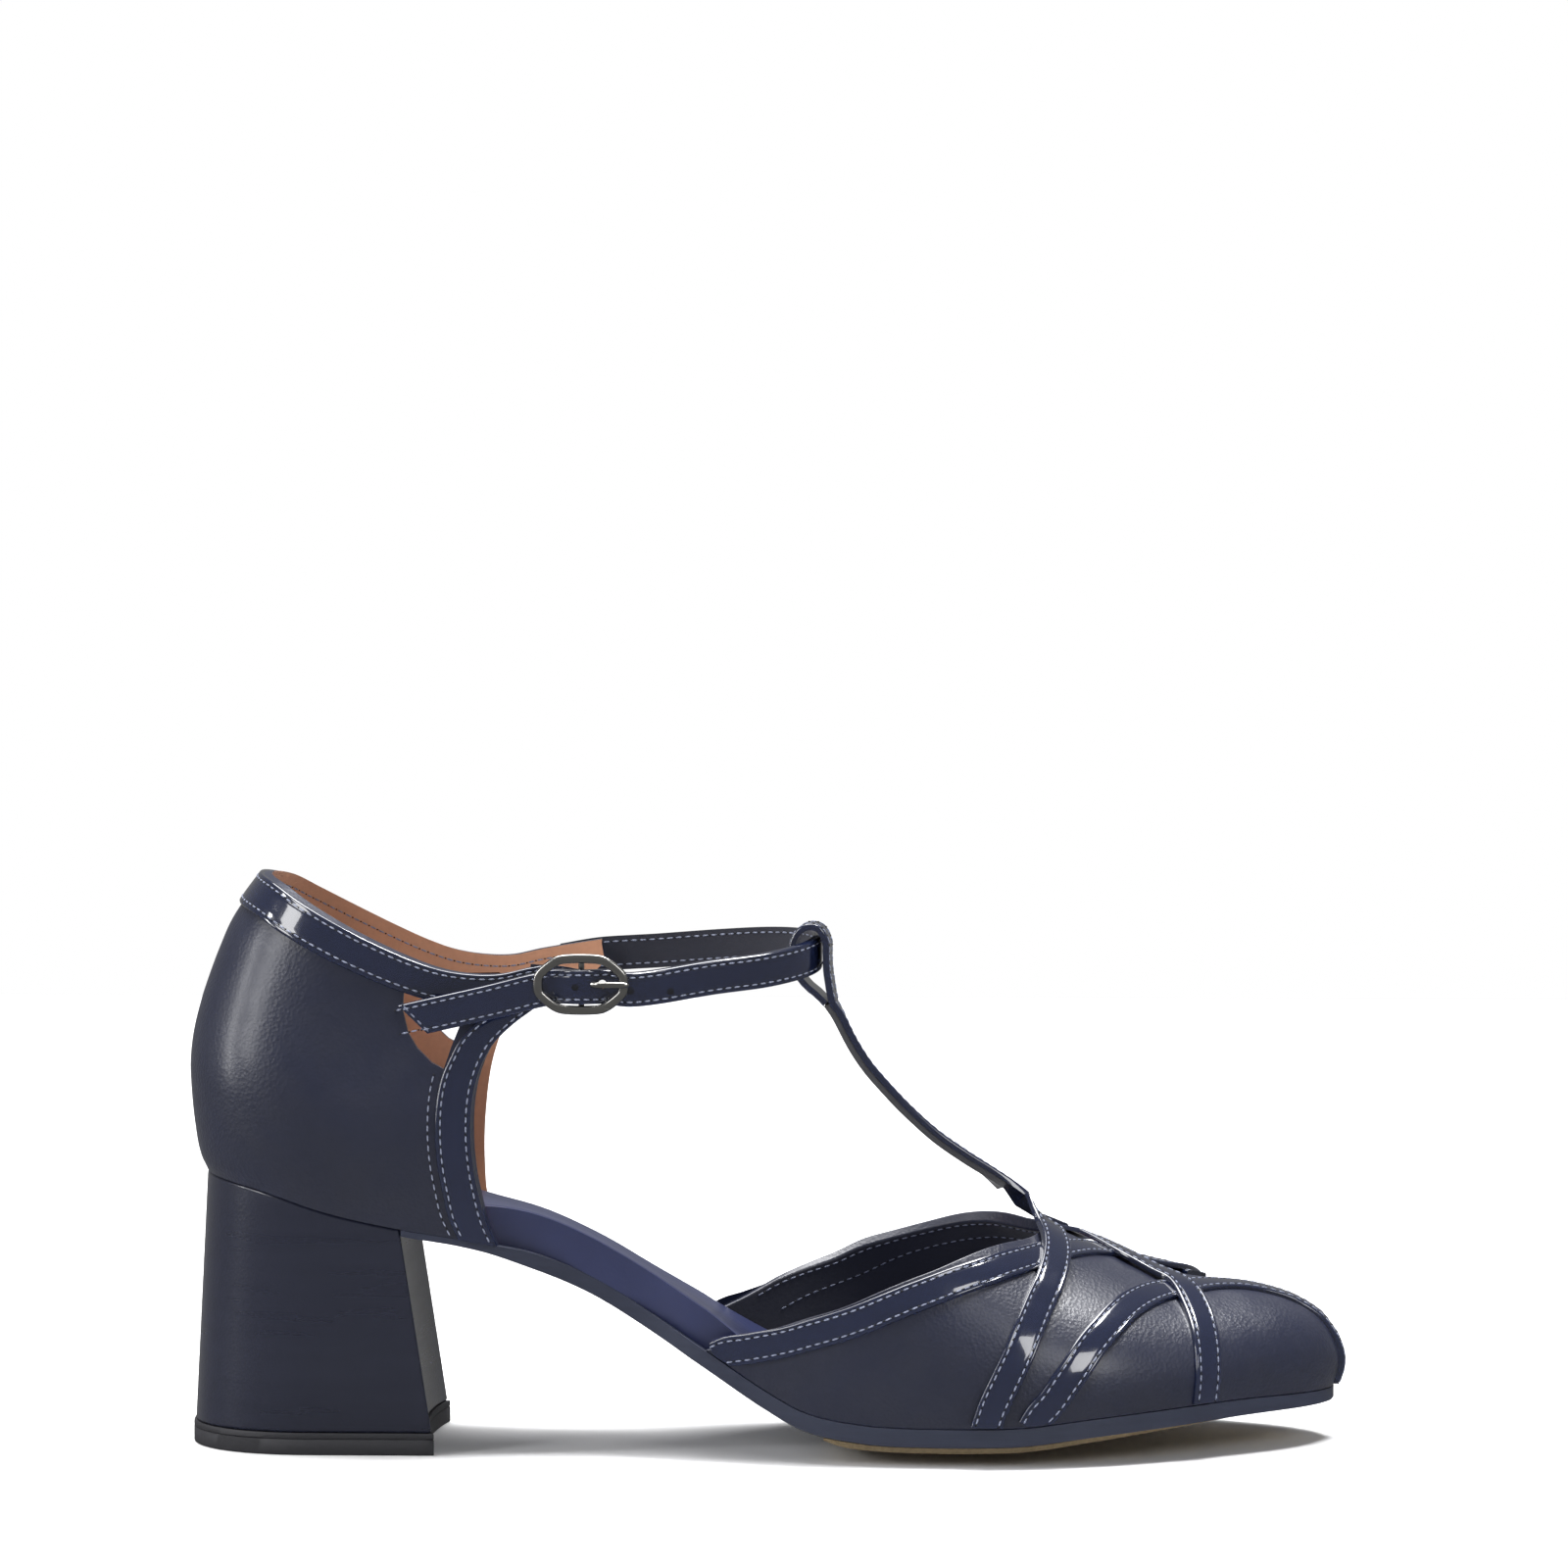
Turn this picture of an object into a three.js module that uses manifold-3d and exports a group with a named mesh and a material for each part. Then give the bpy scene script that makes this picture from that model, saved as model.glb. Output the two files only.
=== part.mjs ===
// A woman's right shoe: a closed toe pump with a T strap, an ankle strap and a block heel.
// Millimetres, +Z up, +X towards the toe and +Y towards the inner (medial) side of the foot.
// The origin is on the floor, under the middle of the heel.
// The upper is two hollow leather pieces, the vamp and the quarter, with the waist between them open.
// Patent strips are laid on the vamp in a lattice, and a patent band and two straps edge the quarter.
import * as THREE from "three";
import { mergeVertices } from "three/addons/utils/BufferGeometryUtils.js";
import Module from "manifold-3d";

const wasm = await Module();
wasm.setup();

// Driving sizes of the last
const shoeLength = 235; // back of the heel cup to the toe tip
const heelCupBack = 25; // origin to the back of the heel cup
const ballBreadth = 76.6; // breadth of the feather edge across the ball
const toeSwing = 9; // how far the toe turns towards the medial side
const toeRound = 50; // length over which the toe's outline closes
const seatRound = 26; // length over which the seat's outline closes
const toeBulge = 1.5; // how far the toe and side walls stand past the feather edge
const heelHeight = 56.1; // floor to the feather edge at the back
const toeSpring = 3.6; // extra height of the feather edge at the toe
const bellyDepth = 3.4; // how far the middle of the bottom hangs below its edges
const bellyFlat = 0.2; // how much of the belly the flat spot takes off
const throatHeight = 44.2; // floor to the vamp's ridge at the throat
const throatAt = 174.5; // heel cup back to the throat
const counterHeight = 60.5; // heel seat to the collar at the back
const cupLean = 15.3; // how far the collar stands forward of the heel cup's back

// Driving sizes of the materials
const gap = 0.3; // clearance between pieces that touch
const wall = 1.6; // upper leather with its lining
const stripWidth = 6.2;
const stripThickness = 0.9;
const toeCrown = 15; // radius of the toe's tip, seen from above
const strapWidth = 7;
const strapThickness = 1.5;
const bandWidth = 6.2; // the patent band along the collar
const randThickness = 3.3;
const treadThickness = 0.8;
const treadInset = 3.6; // tread edge inside the rand's edge under the ball
const waistPull = 4.6; // how far the sole and insole draw in at the waist
const waistTilt = 2; // how far the insole's edges lift and drop at the waist
const treadToeInset = 4; // tread end behind the rand's toe
const insoleGap = 1; // clearance of the insole inside the curved walls
const insoleDish = 0.6; // how far the sock sinks between its edges
const insoleStep = 18; // length over which the insole comes out flush with the sole's edge
const insoleWaist = 6.2; // height of the wrapped insole at the waist
const liftThickness = 4.5; // rubber top piece under the heel
const liftLip = 0.4; // how far the top piece stands out past the heel
const heelBreadth = 46; // breadth of the heel at the floor
const heelFloorBack = 24.5; // origin to the heel's back edge at the floor
const heelFloorFront = 25.5; // origin to the heel's front corners at the floor
const heelSeatInset = 0.8; // heel block inside the feather edge at the seat
const heelSeatFront = 19.2; // origin to the heel's front corners at the seat
const breastHollow = 2.4; // how deep the heel's front face is hollowed
const buckleLength = 18.6;
const buckleHeight = 11.8;
const buckleWire = 1.4;
const tabWidth = 6.4;
const tStrapThickness = 1.3;
const backingThickness = 1.1;
const holePitch = 7.8;
const holeDiameter = 1.5;

// The feather edge, where the upper meets the sole. at: share of the shoe's length, from the back.
// half: share of half the ball breadth. swing: share of the toe's swing. pitch: share of the heel's rise.
// spring: share of the toe spring. belly: share of the belly's depth.
const feather = [
  { at: 0.014, half: 0.64, swing: 0.0, pitch: 1.0, spring: 0.0, belly: 0.0 },
  { at: 0.064, half: 0.64, swing: 0.0, pitch: 0.956, spring: 0.0, belly: 0.0 },
  { at: 0.131, half: 0.64, swing: 0.0, pitch: 0.857, spring: 0.0, belly: 0.0 },
  { at: 0.189, half: 0.64, swing: 0.0, pitch: 0.796, spring: 0.0, belly: 0.0 },
  { at: 0.24, half: 0.636, swing: -0.02, pitch: 0.757, spring: 0.0, belly: 0.1 },
  { at: 0.3, half: 0.618, swing: -0.06, pitch: 0.698, spring: 0.0, belly: 0.3 },
  { at: 0.349, half: 0.6, swing: -0.13, pitch: 0.597, spring: 0.0, belly: 0.45 },
  { at: 0.4, half: 0.602, swing: -0.2, pitch: 0.453, spring: 0.0, belly: 0.65 },
  { at: 0.451, half: 0.638, swing: -0.24, pitch: 0.299, spring: 0.0, belly: 0.8 },
  { at: 0.502, half: 0.712, swing: -0.22, pitch: 0.139, spring: 0.0, belly: 0.9 },
  { at: 0.536, half: 0.79, swing: -0.18, pitch: 0.055, spring: 0.0, belly: 0.95 },
  { at: 0.587, half: 0.888, swing: -0.08, pitch: 0.01, spring: 0.0, belly: 1.0 },
  { at: 0.651, half: 0.965, swing: 0.05, pitch: 0.0, spring: 0.0, belly: 1.0 },
  { at: 0.69, half: 0.987, swing: 0.12, pitch: 0.0, spring: 0.02, belly: 1.0 },
  { at: 0.723, half: 1.0, swing: 0.2, pitch: 0.0, spring: 0.08, belly: 1.0 },
  { at: 0.787, half: 0.958, swing: 0.38, pitch: 0.0, spring: 0.5, belly: 0.8 },
  { at: 0.851, half: 0.875, swing: 0.6, pitch: 0.0, spring: 0.8, belly: 0.5 },
  { at: 0.915, half: 0.775, swing: 0.82, pitch: 0.0, spring: 0.97, belly: 0.3 },
  { at: 0.994, half: 0.7, swing: 1.0, pitch: 0.0, spring: 0.85, belly: 0.0 },
];

// The ridge of the last over the vamp, as a share of the throat's height, and how square its section is.
const ridge = [
  { at: 0.43, height: 2.6, square: 2.0 },
  { at: 0.489, height: 2.414, square: 2.0 },
  { at: 0.532, height: 2.16, square: 2.0 },
  { at: 0.566, height: 1.862, square: 2.0 },
  { at: 0.6, height: 1.609, square: 2.0 },
  { at: 0.634, height: 1.437, square: 2.0 },
  { at: 0.668, height: 1.299, square: 2.0 },
  { at: 0.702, height: 1.161, square: 2.0 },
  { at: 0.728, height: 1.053, square: 2.0 },
  { at: 0.745, height: 1.0, square: 2.0 },
  { at: 0.787, height: 0.902, square: 2.05 },
  { at: 0.821, height: 0.834, square: 2.1 },
  { at: 0.855, height: 0.77, square: 2.15 },
  { at: 0.889, height: 0.738, square: 2.2 },
  { at: 0.923, height: 0.706, square: 2.2 },
  { at: 0.957, height: 0.65, square: 2.2 },
  { at: 0.974, height: 0.6, square: 2.2 },
  { at: 0.983, height: 0.56, square: 2.2 },
  { at: 0.994, height: 0.48, square: 2.2 },
];

// The vamp's topline. girth: share of the way over the last from the lateral feather edge, 0.5 at the ridge.
// back: share of the throat's distance from the heel cup's back.
// medial: how much less that is on the medial side.
const topline = [
  { girth: 0.0, back: 0.607, medial: 0.008 },
  { girth: 0.029, back: 0.655, medial: 0.014 },
  { girth: 0.058, back: 0.699, medial: 0.02 },
  { girth: 0.105, back: 0.767, medial: 0.024 },
  { girth: 0.145, back: 0.811, medial: 0.025 },
  { girth: 0.211, back: 0.879, medial: 0.021 },
  { girth: 0.272, back: 0.924, medial: 0.014 },
  { girth: 0.353, back: 0.969, medial: 0.006 },
  { girth: 0.4, back: 0.986, medial: 0.002 },
  { girth: 0.5, back: 1.0, medial: 0.0 },
];

// The heel cup by height. rise: share of the way from feather edge to collar. lean: share of the cup's lean.
// side: the wall's half breadth as a share of the feather edge's.
const cup = [
  { rise: 0.0, lean: 0.22, side: 1.0 },
  { rise: 0.05, lean: 0.13, side: 1.025 },
  { rise: 0.165, lean: 0.05, side: 1.07 },
  { rise: 0.3, lean: 0.005, side: 1.09 },
  { rise: 0.365, lean: 0.0, side: 1.088 },
  { rise: 0.46, lean: 0.04, side: 1.07 },
  { rise: 0.565, lean: 0.14, side: 1.03 },
  { rise: 0.65, lean: 0.25, side: 0.995 },
  { rise: 0.75, lean: 0.4, side: 0.955 },
  { rise: 0.85, lean: 0.58, side: 0.92 },
  { rise: 1.0, lean: 1.0, side: 0.88 },
];

// The collar's height, as a share of the counter's height above the heel seat, along the shoe.
const collar = [
  { at: 0.064, height: 1.0 },
  { at: 0.081, height: 0.973 },
  { at: 0.1, height: 0.928 },
  { at: 0.132, height: 0.859 },
  { at: 0.166, height: 0.793 },
  { at: 0.199, height: 0.737 },
  { at: 0.224, height: 0.705 },
  { at: 0.249, height: 0.69 },
  { at: 0.274, height: 0.69 },
  { at: 0.3, height: 0.712 },
  { at: 0.36, height: 0.752 },
];

// Heights above the feather edge of the insole's top, as a share of its height at the waist.
const insoleRise = [
  { at: 0.0, height: 0.76 },
  { at: 0.12, height: 0.85 },
  { at: 0.24, height: 0.96 },
  { at: 0.34, height: 1.0 },
  { at: 0.45, height: 1.0 },
  { at: 0.53, height: 0.86 },
  { at: 0.6, height: 0.67 },
  { at: 0.72, height: 0.53 },
  { at: 1.0, height: 0.45 },
];

// Smooth interpolation of one column of a table, held level past its ends.
function along(table, key, column, value) {
  const last = table.length - 1;
  if (value <= table[0][key]) return table[0][column];
  if (value >= table[last][key]) return table[last][column];
  let i = 0;
  while (table[i + 1][key] < value) i++;
  const slope = (a, b) => (table[b][column] - table[a][column]) / (table[b][key] - table[a][key]);
  const chord = slope(i, i + 1);
  const before = i > 0 ? 0.5 * (slope(i - 1, i) + chord) : chord;
  const after = i + 1 < last ? 0.5 * (slope(i + 1, i + 2) + chord) : chord;
  const span = table[i + 1][key] - table[i][key];
  const t = (value - table[i][key]) / span;
  const [t2, t3] = [t * t, t * t * t];
  return (
    (2 * t3 - 3 * t2 + 1) * table[i][column] +
    (t3 - 2 * t2 + t) * span * before +
    (3 * t2 - 2 * t3) * table[i + 1][column] +
    (t3 - t2) * span * after
  );
}

const clamp = (value, low, high) => Math.min(high, Math.max(low, value));
// Floor to the feather edge at the ball, from what lies under it
const featherHeight = 2 * gap + randThickness + treadThickness + bellyDepth - bellyFlat;

const shareOf = (x) => (x + heelCupBack) / shoeLength;
const placeOf = (share) => share * shoeLength - heelCupBack;

// How an outline closes towards an end: 0 at the end, 1 from the round's length onwards.
function closing(distance, length, power = 2) {
  const open = 1 - clamp(distance / length, 0, 1);
  return (1 - open ** power) ** (1 / power);
}

const featherToe = placeOf(0.994);
const featherHeel = placeOf(0.014);

const centreY = (x) => toeSwing * along(feather, "at", "swing", shareOf(x));
const edgeZ = (x) =>
  featherHeight +
  (heelHeight - featherHeight) * along(feather, "at", "pitch", shareOf(x)) +
  toeSpring * along(feather, "at", "spring", shareOf(x));
const belly = (x) => bellyDepth * along(feather, "at", "belly", shareOf(x));

// The waist, where the foot's arch stands free. pull: how much of the waist's pull the sole and insole take.
// tilt: how much of the waist's tilt the insole takes.
const waist = [
  { at: 0.2, pull: 0.0, tilt: 0.0 },
  { at: 0.24, pull: 0.0, tilt: 0.5 },
  { at: 0.27, pull: 0.0, tilt: 0.9 },
  { at: 0.305, pull: 0.55, tilt: 1.0 },
  { at: 0.345, pull: 1.0, tilt: 1.0 },
  { at: 0.395, pull: 0.9, tilt: 1.0 },
  { at: 0.42, pull: 0.5, tilt: 1.0 },
  { at: 0.438, pull: 0.12, tilt: 1.0 },
  { at: 0.455, pull: 0.0, tilt: 1.0 },
  { at: 0.5, pull: 0.0, tilt: 0.5 },
  { at: 0.54, pull: 0.0, tilt: 0.0 },
];

// Half the breadth of the feather edge, of the sole under it, and of the sole with its ends closed.
const openHalf = (x) => (ballBreadth / 2) * along(feather, "at", "half", shareOf(x));
const soleHalf = (x) => openHalf(x) - waistPull * along(waist, "at", "pull", shareOf(x));
const halfAt = (x) => soleHalf(x) * closing(featherToe - x, toeRound) * closing(x - featherHeel, seatRound);

// A point of the vamp's form. x runs along the shoe and girth over it, from the lateral feather edge to 1.
// grow moves the whole form outwards, and the wall bulges past the feather edge.
function vampPoint(x, girth, grow = 0) {
  const reach = featherToe + grow;
  const at = clamp(x, placeOf(ridge[0].at) - stripWidth, reach);
  const half = (openHalf(at) + grow) * closing(reach - at, toeRound);
  const top = throatHeight * along(ridge, "at", "height", shareOf(at - grow)) + grow;
  const square = 2 / along(ridge, "at", "square", shareOf(at));
  const angle = Math.PI * clamp(girth, 0, 1);
  const [cos, sin] = [Math.cos(angle), Math.max(0, Math.sin(angle))];
  const low = edgeZ(at);
  const out = -Math.sign(cos) * Math.abs(cos) ** square;
  const up = sin ** square;
  const swell = toeBulge * Math.sin(Math.PI * clamp(up, 0, 1));
  const toeward = clamp(1 - (reach - at) / toeRound, 0, 1) ** 3;
  const below = Math.min(girth, 1 - girth, 0) * ballBreadth;
  const sideways = Math.abs(out) < 1e-9 ? 0 : Math.sign(out) * Math.sqrt(1 - toeward);
  return new THREE.Vector3(
    at + swell * toeward,
    centreY(at) + out * half + sideways * swell * Math.min(1, half / 6),
    low + (top - low) * up + below,
  );
}

// The topline's place along the shoe at a share of the girth. The medial side reaches further back.
const medialReach = (girth) => (girth > 0.5 ? throatAt * along(topline, "girth", "medial", 1 - girth) : 0);
const toplineX = (girth) =>
  throatAt * along(topline, "girth", "back", Math.min(girth, 1 - girth)) - heelCupBack - medialReach(girth);

// A point of the heel cup's form. turn runs from -1 at the lateral front through 0 at the back to 1.
// rise runs from 0 at the feather edge to 1 at the collar.
const quarterFront = placeOf(0.36);
const quarterFootFront = placeOf(0.272);
const vampBack = throatAt * topline[0].back - heelCupBack;
function cupPoint(turn, rise, grow = 0) {
  const lean = (share) => cupLean * along(cup, "rise", "lean", share) - heelCupBack;
  const reach = turn * turn;
  const span = (share) => lean(share) + (quarterFront - lean(share)) * reach;
  const x = span(rise) - grow * (1 - reach);
  const low = edgeZ(span(0));
  const high = heelHeight + counterHeight * along(collar, "at", "height", shareOf(span(1)));
  const side = along(cup, "rise", "side", rise);
  const half = openHalf(x) * side + grow;
  const y = centreY(x) + Math.sign(turn) * half * closing(x + grow - lean(rise), seatRound + grow, 2.2);
  return new THREE.Vector3(x, y, low + (high - low) * rise);
}

// Closed solid between two grids of points of the same size, stitched along their borders.
function between(outer, inner) {
  const [rows, columns] = [outer.length, outer[0].length];
  const positions = [outer, inner].flat(2).flatMap((p) => [p.x, p.y, p.z]);
  const index = [];
  const id = (layer, i, j) => layer * rows * columns + i * columns + j;
  const quad = (a, b, c, d) => index.push(a, b, c, a, c, d);
  for (let i = 0; i < rows - 1; i++)
    for (let j = 0; j < columns - 1; j++) {
      quad(id(0, i, j), id(0, i + 1, j), id(0, i + 1, j + 1), id(0, i, j + 1));
      quad(id(1, i, j), id(1, i, j + 1), id(1, i + 1, j + 1), id(1, i + 1, j));
    }
  for (let i = 0; i < rows - 1; i++) {
    quad(id(0, i, 0), id(1, i, 0), id(1, i + 1, 0), id(0, i + 1, 0));
    const e = columns - 1;
    quad(id(0, i, e), id(0, i + 1, e), id(1, i + 1, e), id(1, i, e));
  }
  for (let j = 0; j < columns - 1; j++) {
    quad(id(0, 0, j), id(0, 0, j + 1), id(1, 0, j + 1), id(1, 0, j));
    const e = rows - 1;
    quad(id(0, e, j), id(1, e, j), id(1, e, j + 1), id(0, e, j + 1));
  }
  return closed(positions, index);
}

// Closed geometry from positions and triangles, facing out, with coincident vertices merged.
function closed(positions, index) {
  const raw = new THREE.BufferGeometry();
  raw.setAttribute("position", new THREE.Float32BufferAttribute(positions, 3));
  raw.setIndex(index);
  const merged = mergeVertices(raw, 1e-4);
  const kept = [];
  const found = merged.index.array;
  const at = merged.getAttribute("position");
  const corner = (i) => new THREE.Vector3().fromBufferAttribute(at, i);
  let volume = 0;
  for (let i = 0; i < found.length; i += 3) {
    const [a, b, c] = found.slice(i, i + 3);
    if (a === b || b === c || a === c) continue;
    kept.push(a, b, c);
    volume += corner(a).dot(corner(b).cross(corner(c)));
  }
  merged.setIndex(volume < 0 ? kept.reverse() : kept);
  return merged;
}

// Geometry to a manifold solid and back.
function solid(geometry) {
  const bare = new THREE.BufferGeometry();
  bare.setAttribute("position", geometry.getAttribute("position").clone());
  if (geometry.index) bare.setIndex(geometry.index.clone());
  const merged = mergeVertices(bare, 1e-4);
  const made = new wasm.Manifold(
    new wasm.Mesh({
      numProp: 3,
      vertProperties: new Float32Array(merged.getAttribute("position").array),
      triVerts: new Uint32Array(merged.index.array),
    }),
  );
  return made;
}

function geometryOf(manifold) {
  const mesh = manifold.getMesh();
  const positions = new Float32Array(mesh.numVert * 3);
  for (let i = 0; i < mesh.numVert; i++)
    positions.set(mesh.vertProperties.subarray(i * mesh.numProp, i * mesh.numProp + 3), i * 3);
  const geometry = new THREE.BufferGeometry();
  geometry.setAttribute("position", new THREE.BufferAttribute(positions, 3));
  geometry.setIndex(new THREE.BufferAttribute(mesh.triVerts, 1));
  return geometry;
}

// Smooth path through points, as evenly numbered samples of a Catmull-Rom spline.
function smooth(points, perSpan) {
  const made = [];
  const last = points.length - 1;
  const at = (i) => points[clamp(i, 0, last)];
  for (let i = 0; i < last; i++)
    for (let k = 0; k < perSpan; k++) {
      const t = k / perSpan;
      const value = (a, b, c, d) => {
        const bend = 2 * a - 5 * b + 4 * c - d;
        const twist = 3 * (b - c) + d - a;
        return 0.5 * (2 * b + (c - a) * t + bend * t ** 2 + twist * t ** 3);
      };
      made.push(at(i).map((b, n) => value(at(i - 1)[n], b, at(i + 1)[n], at(i + 2)[n])));
    }
  made.push([...points[last]]);
  return made;
}

// Ribbon through stations, each with points across it and a normal at each. It runs from low to high along
// the normals, raised by the station's own lift.
function ribbon(stations, low, high) {
  const row = (station, height) =>
    station.points.map((p, i) => p.clone().addScaledVector(station.normals[i], height + station.lift));
  return between(
    stations.map((station) => row(station, high)),
    stations.map((station) => row(station, low)),
  );
}

// Solid cut straight through the shoe from side to side, from an outline seen from the side.
function sideCut(outline, halfDepth = ballBreadth) {
  const shape = new THREE.Shape(outline.map(([x, z]) => new THREE.Vector2(x, z)));
  const block = new THREE.ExtrudeGeometry(shape, { depth: 2 * halfDepth, bevelEnabled: false });
  block.rotateX(Math.PI / 2);
  block.translate(0, halfDepth, 0);
  return solid(block);
}

// The rand's thickness along the shoe, as a share of its thickness at the ball; it thins towards the heel.
const randTaper = [
  { at: 0.19, thick: 0.32 },
  { at: 0.26, thick: 0.45 },
  { at: 0.3, thick: 0.9 },
  { at: 0.35, thick: 1.0 },
  { at: 0.4, thick: 1.0 },
  { at: 0.82, thick: 1.0 },
  { at: 0.9, thick: 0.94 },
  { at: 0.994, thick: 0.7 },
];

// Bottom surface of the rand at a place along and a share across, from -1 to 1.
const randBottom = (x, v) =>
  edgeZ(x) - gap - randThickness * along(randTaper, "at", "thick", shareOf(x)) - belly(x) * (1 - v * v);

// Grid of points, rows by columns, from a function of two shares.
function grid(rows, columns, point) {
  const made = [];
  for (let i = 0; i <= rows; i++) {
    const row = [];
    for (let j = 0; j <= columns; j++) row.push(point(i / rows, j / columns));
    made.push(row);
  }
  return made;
}

// Sample spacing that closes up towards the far end.
const ease = (u) => 0.5 * u + 0.5 * Math.sin((u * Math.PI) / 2);

const breastX = (front, v) => front - breastHollow * (1 - v * v);

// Outsole from the heel's breast to the toe.
function outsole() {
  const point = (u, across, height) => {
    const v = 2 * across - 1;
    const start = breastX(heelSeatFront, v) + gap;
    const x = start + (featherToe - start) * ease(u);
    return new THREE.Vector3(x, centreY(x) + v * halfAt(x), height(x, v));
  };
  const top = grid(40, 6, (u, a) => point(u, a, (x) => edgeZ(x) - gap));
  const bottom = grid(40, 6, (u, a) => point(u, a, randBottom));
  return between(top, bottom);
}

// The tread along the shoe, as shares of its thickness and its inset: a bevelled start, thinner to the toe.
const treadForm = [
  { at: 0.553, thick: 0.3, inset: 1.0 },
  { at: 0.567, thick: 1.0, inset: 1.0 },
  { at: 0.6, thick: 1.0, inset: 1.0 },
  { at: 0.72, thick: 1.0, inset: 1.15 },
  { at: 0.8, thick: 0.8, inset: 1.8 },
  { at: 0.9, thick: 0.5, inset: 2.6 },
  { at: 1.0, thick: 0.4, inset: 3.0 },
];

// Tread layer under the forepart, with a flat spot on the floor.
function tread() {
  const [start, end] = [placeOf(treadForm[0].at), featherToe - treadToeInset];
  const form = (column, x) => along(treadForm, "at", column, shareOf(x));
  const half = (x) => (openHalf(x) - treadInset * form("inset", x)) * closing(end - x, toeRound);
  const point = (u, across, height) => {
    const v = 2 * across - 1;
    const x = start + (end - start) * ease(u);
    const share = (v * half(x)) / halfAt(x);
    return new THREE.Vector3(x, centreY(x) + v * half(x), height(x, share));
  };
  const upper = (x, v) => randBottom(x, v) - gap;
  const lower = (x, v) => Math.max(upper(x, v) - treadThickness * form("thick", x), 0);
  return between(
    grid(20, 6, (u, a) => point(u, a, upper)),
    grid(20, 6, (u, a) => point(u, a, lower)),
  );
}

// How far the wrapped insole stands in from the sole's edge: inside the walls, and flush at the waist.
function insoleInset(x) {
  const rear = clamp((quarterFootFront - x) / insoleStep + 1, 0, 1);
  const fore = clamp((x - vampBack) / insoleStep + 1, 0, 1);
  return (wall + insoleGap) * Math.max(rear, fore);
}

function insole() {
  const back = cupLean * cup[0].lean - heelCupBack;
  const ends = (x) => {
    const inset = insoleInset(x);
    return closing(featherToe - inset - x, toeRound) * closing(x - back - inset, seatRound, 2.2);
  };
  const half = (x) => (soleHalf(x) - insoleInset(x)) * ends(x);
  const [start, end] = [back + wall + insoleGap, featherToe - wall - insoleGap];
  const point = (u, across, height) => {
    const v = 2 * across - 1;
    const x = start + (end - start) * 0.5 * (1 - Math.cos(Math.PI * u));
    return new THREE.Vector3(x, centreY(x) + v * half(x), height(x, v));
  };
  const rise = (x) => insoleWaist * along(insoleRise, "at", "height", shareOf(x));
  const tilt = (x) => waistTilt * along(waist, "at", "tilt", shareOf(x));
  const dish = (x, v) => edgeZ(x) + rise(x) - v * tilt(x) - insoleDish * (1 - v * v) * ends(x);
  const top = grid(40, 6, (u, a) => point(u, a, dish));
  const bottom = grid(40, 6, (u, a) => point(u, a, (x) => edgeZ(x)));
  return between(top, bottom);
}

// Plan point of the heel's outline at a level; u runs from back to front and v across.
function heelPoint(u, v, back, front, half, z) {
  const reach = breastX(front, v);
  const x = back + (reach - back) * (1 - Math.cos((u * Math.PI) / 2));
  const y = v * half(x) * closing(x - back, seatRound, 2.2);
  return new THREE.Vector3(x, y, z(x));
}

// Tapered heel block, with a rounded back and a hollowed breast.
function heelBlock() {
  const back = cupLean * cup[0].lean - heelCupBack;
  const [footHalf, footZ] = [() => heelBreadth / 2, () => liftThickness + gap];
  const foot = (u, a) => heelPoint(u, 2 * a - 1, -heelFloorBack, heelFloorFront, footHalf, footZ);
  const seatHalf = (x) => openHalf(x) - heelSeatInset;
  const seat = (u, a) => heelPoint(u, 2 * a - 1, back, heelSeatFront, seatHalf, (x) => edgeZ(x) - gap);
  return between(grid(12, 8, seat), grid(12, 8, foot));
}

// Rubber top piece, flat on the floor, a little wider than the heel.
function heelTopPiece() {
  const [back, front] = [-heelFloorBack - liftLip, heelFloorFront + liftLip];
  const half = () => heelBreadth / 2 + liftLip;
  const level = (z) => (u, a) => heelPoint(u, 2 * a - 1, back, front, half, () => z);
  return between(grid(12, 8, level(liftThickness)), grid(12, 8, level(0)));
}

// Hollow vamp, open at its topline and closed below by the sole.
function vamp() {
  const point = (u, girth, grow) => {
    const start = toplineX(girth);
    const x = start + (featherToe + grow - start) * ease(u);
    return vampPoint(x, girth, grow);
  };
  const outer = grid(18, 28, (u, g) => point(u, g, 0));
  const inner = grid(18, 28, (u, g) => point(u, g, -wall));
  return between(outer, inner);
}

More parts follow.
